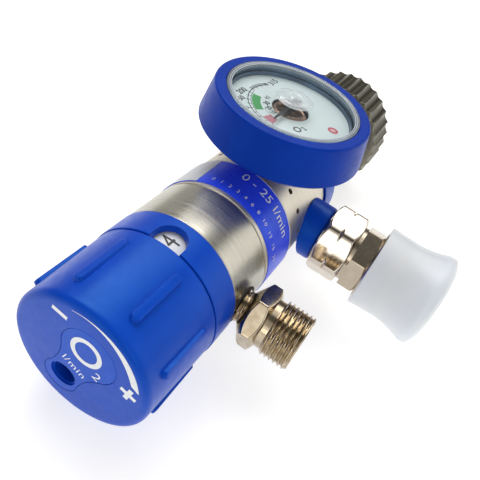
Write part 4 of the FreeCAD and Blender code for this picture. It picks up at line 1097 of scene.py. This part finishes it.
AMBIENT = 0.12             # light from where there is no patch
PATCHES = (                # direction, cosines at its edge and where it is full, strength
    ((-0.15, 0.45, 0.88), 0.80, 0.95, 0.9), ((-0.2, -0.98, 0.02), 0.80, 0.93, 0.9),
    ((-0.2, -0.80, 0.56), 0.88, 0.95, 0.5), ((0.9, -0.1, 0.42), 0.70, 0.95, 0.4),
    ((-0.04, 0.58, 0.81), 0.975, 0.99, 1.6), ((-0.04, -0.99, 0.12), 0.98, 0.992, 1.8),
    ((0.62, 0.72, 0.28), 0.90, 0.975, 1.4), ((-0.68, 0.72, 0.15), 0.95, 0.985, 0.4),
    ((-0.15, 0.74, 0.65), 0.965, 0.992, 1.3))

world = bpy.data.worlds.new("studio")
bpy.context.scene.world = world
world.use_nodes = True
sky = world.node_tree.nodes["Background"]
sky.inputs["Color"].default_value = (1.0, 0.98, 0.95, 1)
wires = world.node_tree.links
aim_at = world.node_tree.nodes.new("ShaderNodeTexCoord").outputs["Generated"]


def with_patch(level, way, edge, full, strength):
    """Adds one soft patch to the world's light."""
    match = world.node_tree.nodes.new("ShaderNodeVectorMath")
    match.operation = "DOT_PRODUCT"
    wires.new(aim_at, match.inputs[0])
    match.inputs[1].default_value = Vector(way).normalized()
    soft = world.node_tree.nodes.new("ShaderNodeMapRange")
    soft.interpolation_type = "SMOOTHSTEP"
    wires.new(match.outputs["Value"], soft.inputs["Value"])
    for key, number in (("From Min", edge), ("From Max", full), ("To Min", 0.0), ("To Max", strength)):
        soft.inputs[key].default_value = number
    total = world.node_tree.nodes.new("ShaderNodeMath")
    total.operation = "ADD"
    wires.new(soft.outputs[0], total.inputs[0])
    total.inputs[1].default_value = AMBIENT
    if level:
        wires.new(level, total.inputs[1])
    return total.outputs[0]


light = None
for patch in PATCHES:
    light = with_patch(light, *patch)
wires.new(light, sky.inputs["Strength"])

MIDDLE = (0.01, -0.07, 0)


def lamp(name, place, size, power):
    """Square soft lamp that points at the object's middle."""
    data = bpy.data.lights.new(name, "AREA")
    data.shape, data.size, data.size_y, data.energy = "RECTANGLE", size, size, power
    obj = bpy.data.objects.new(name, data)
    bpy.context.scene.collection.objects.link(obj)
    obj.location = place
    obj.rotation_mode = "QUATERNION"
    obj.rotation_quaternion = (Vector(place) - Vector(MIDDLE)).to_track_quat("Z", "Y")


lamp("key", (-0.32, 0.10, 0.62), 0.45, 2.8)
lamp("fill", (0.55, -0.45, 0.35), 0.4, 0.7)

# Camera, fitted to edges measured in the photograph

CAMERA_AT = (0.03871, -0.2127, 0.1103)
RIGHT = Vector((0.8223, 0.4900, 0.2892))
DOWN = Vector((0.5346, -0.4913, -0.6876))
FORWARD = Vector((-0.1949, 0.7201, -0.6660))
camera = bpy.data.objects.new("camera", bpy.data.cameras.new("camera"))
bpy.context.scene.collection.objects.link(camera)
camera.data.lens, camera.data.sensor_width = 40.5, 36.0
camera.data.clip_start, camera.data.clip_end = 0.01, 20.0
facing = Matrix((RIGHT, -DOWN, -FORWARD)).transposed().to_4x4()
camera.matrix_world = Matrix.Translation(CAMERA_AT) @ facing
bpy.context.scene.camera = camera
bpy.context.scene.view_settings.view_transform = "Standard"
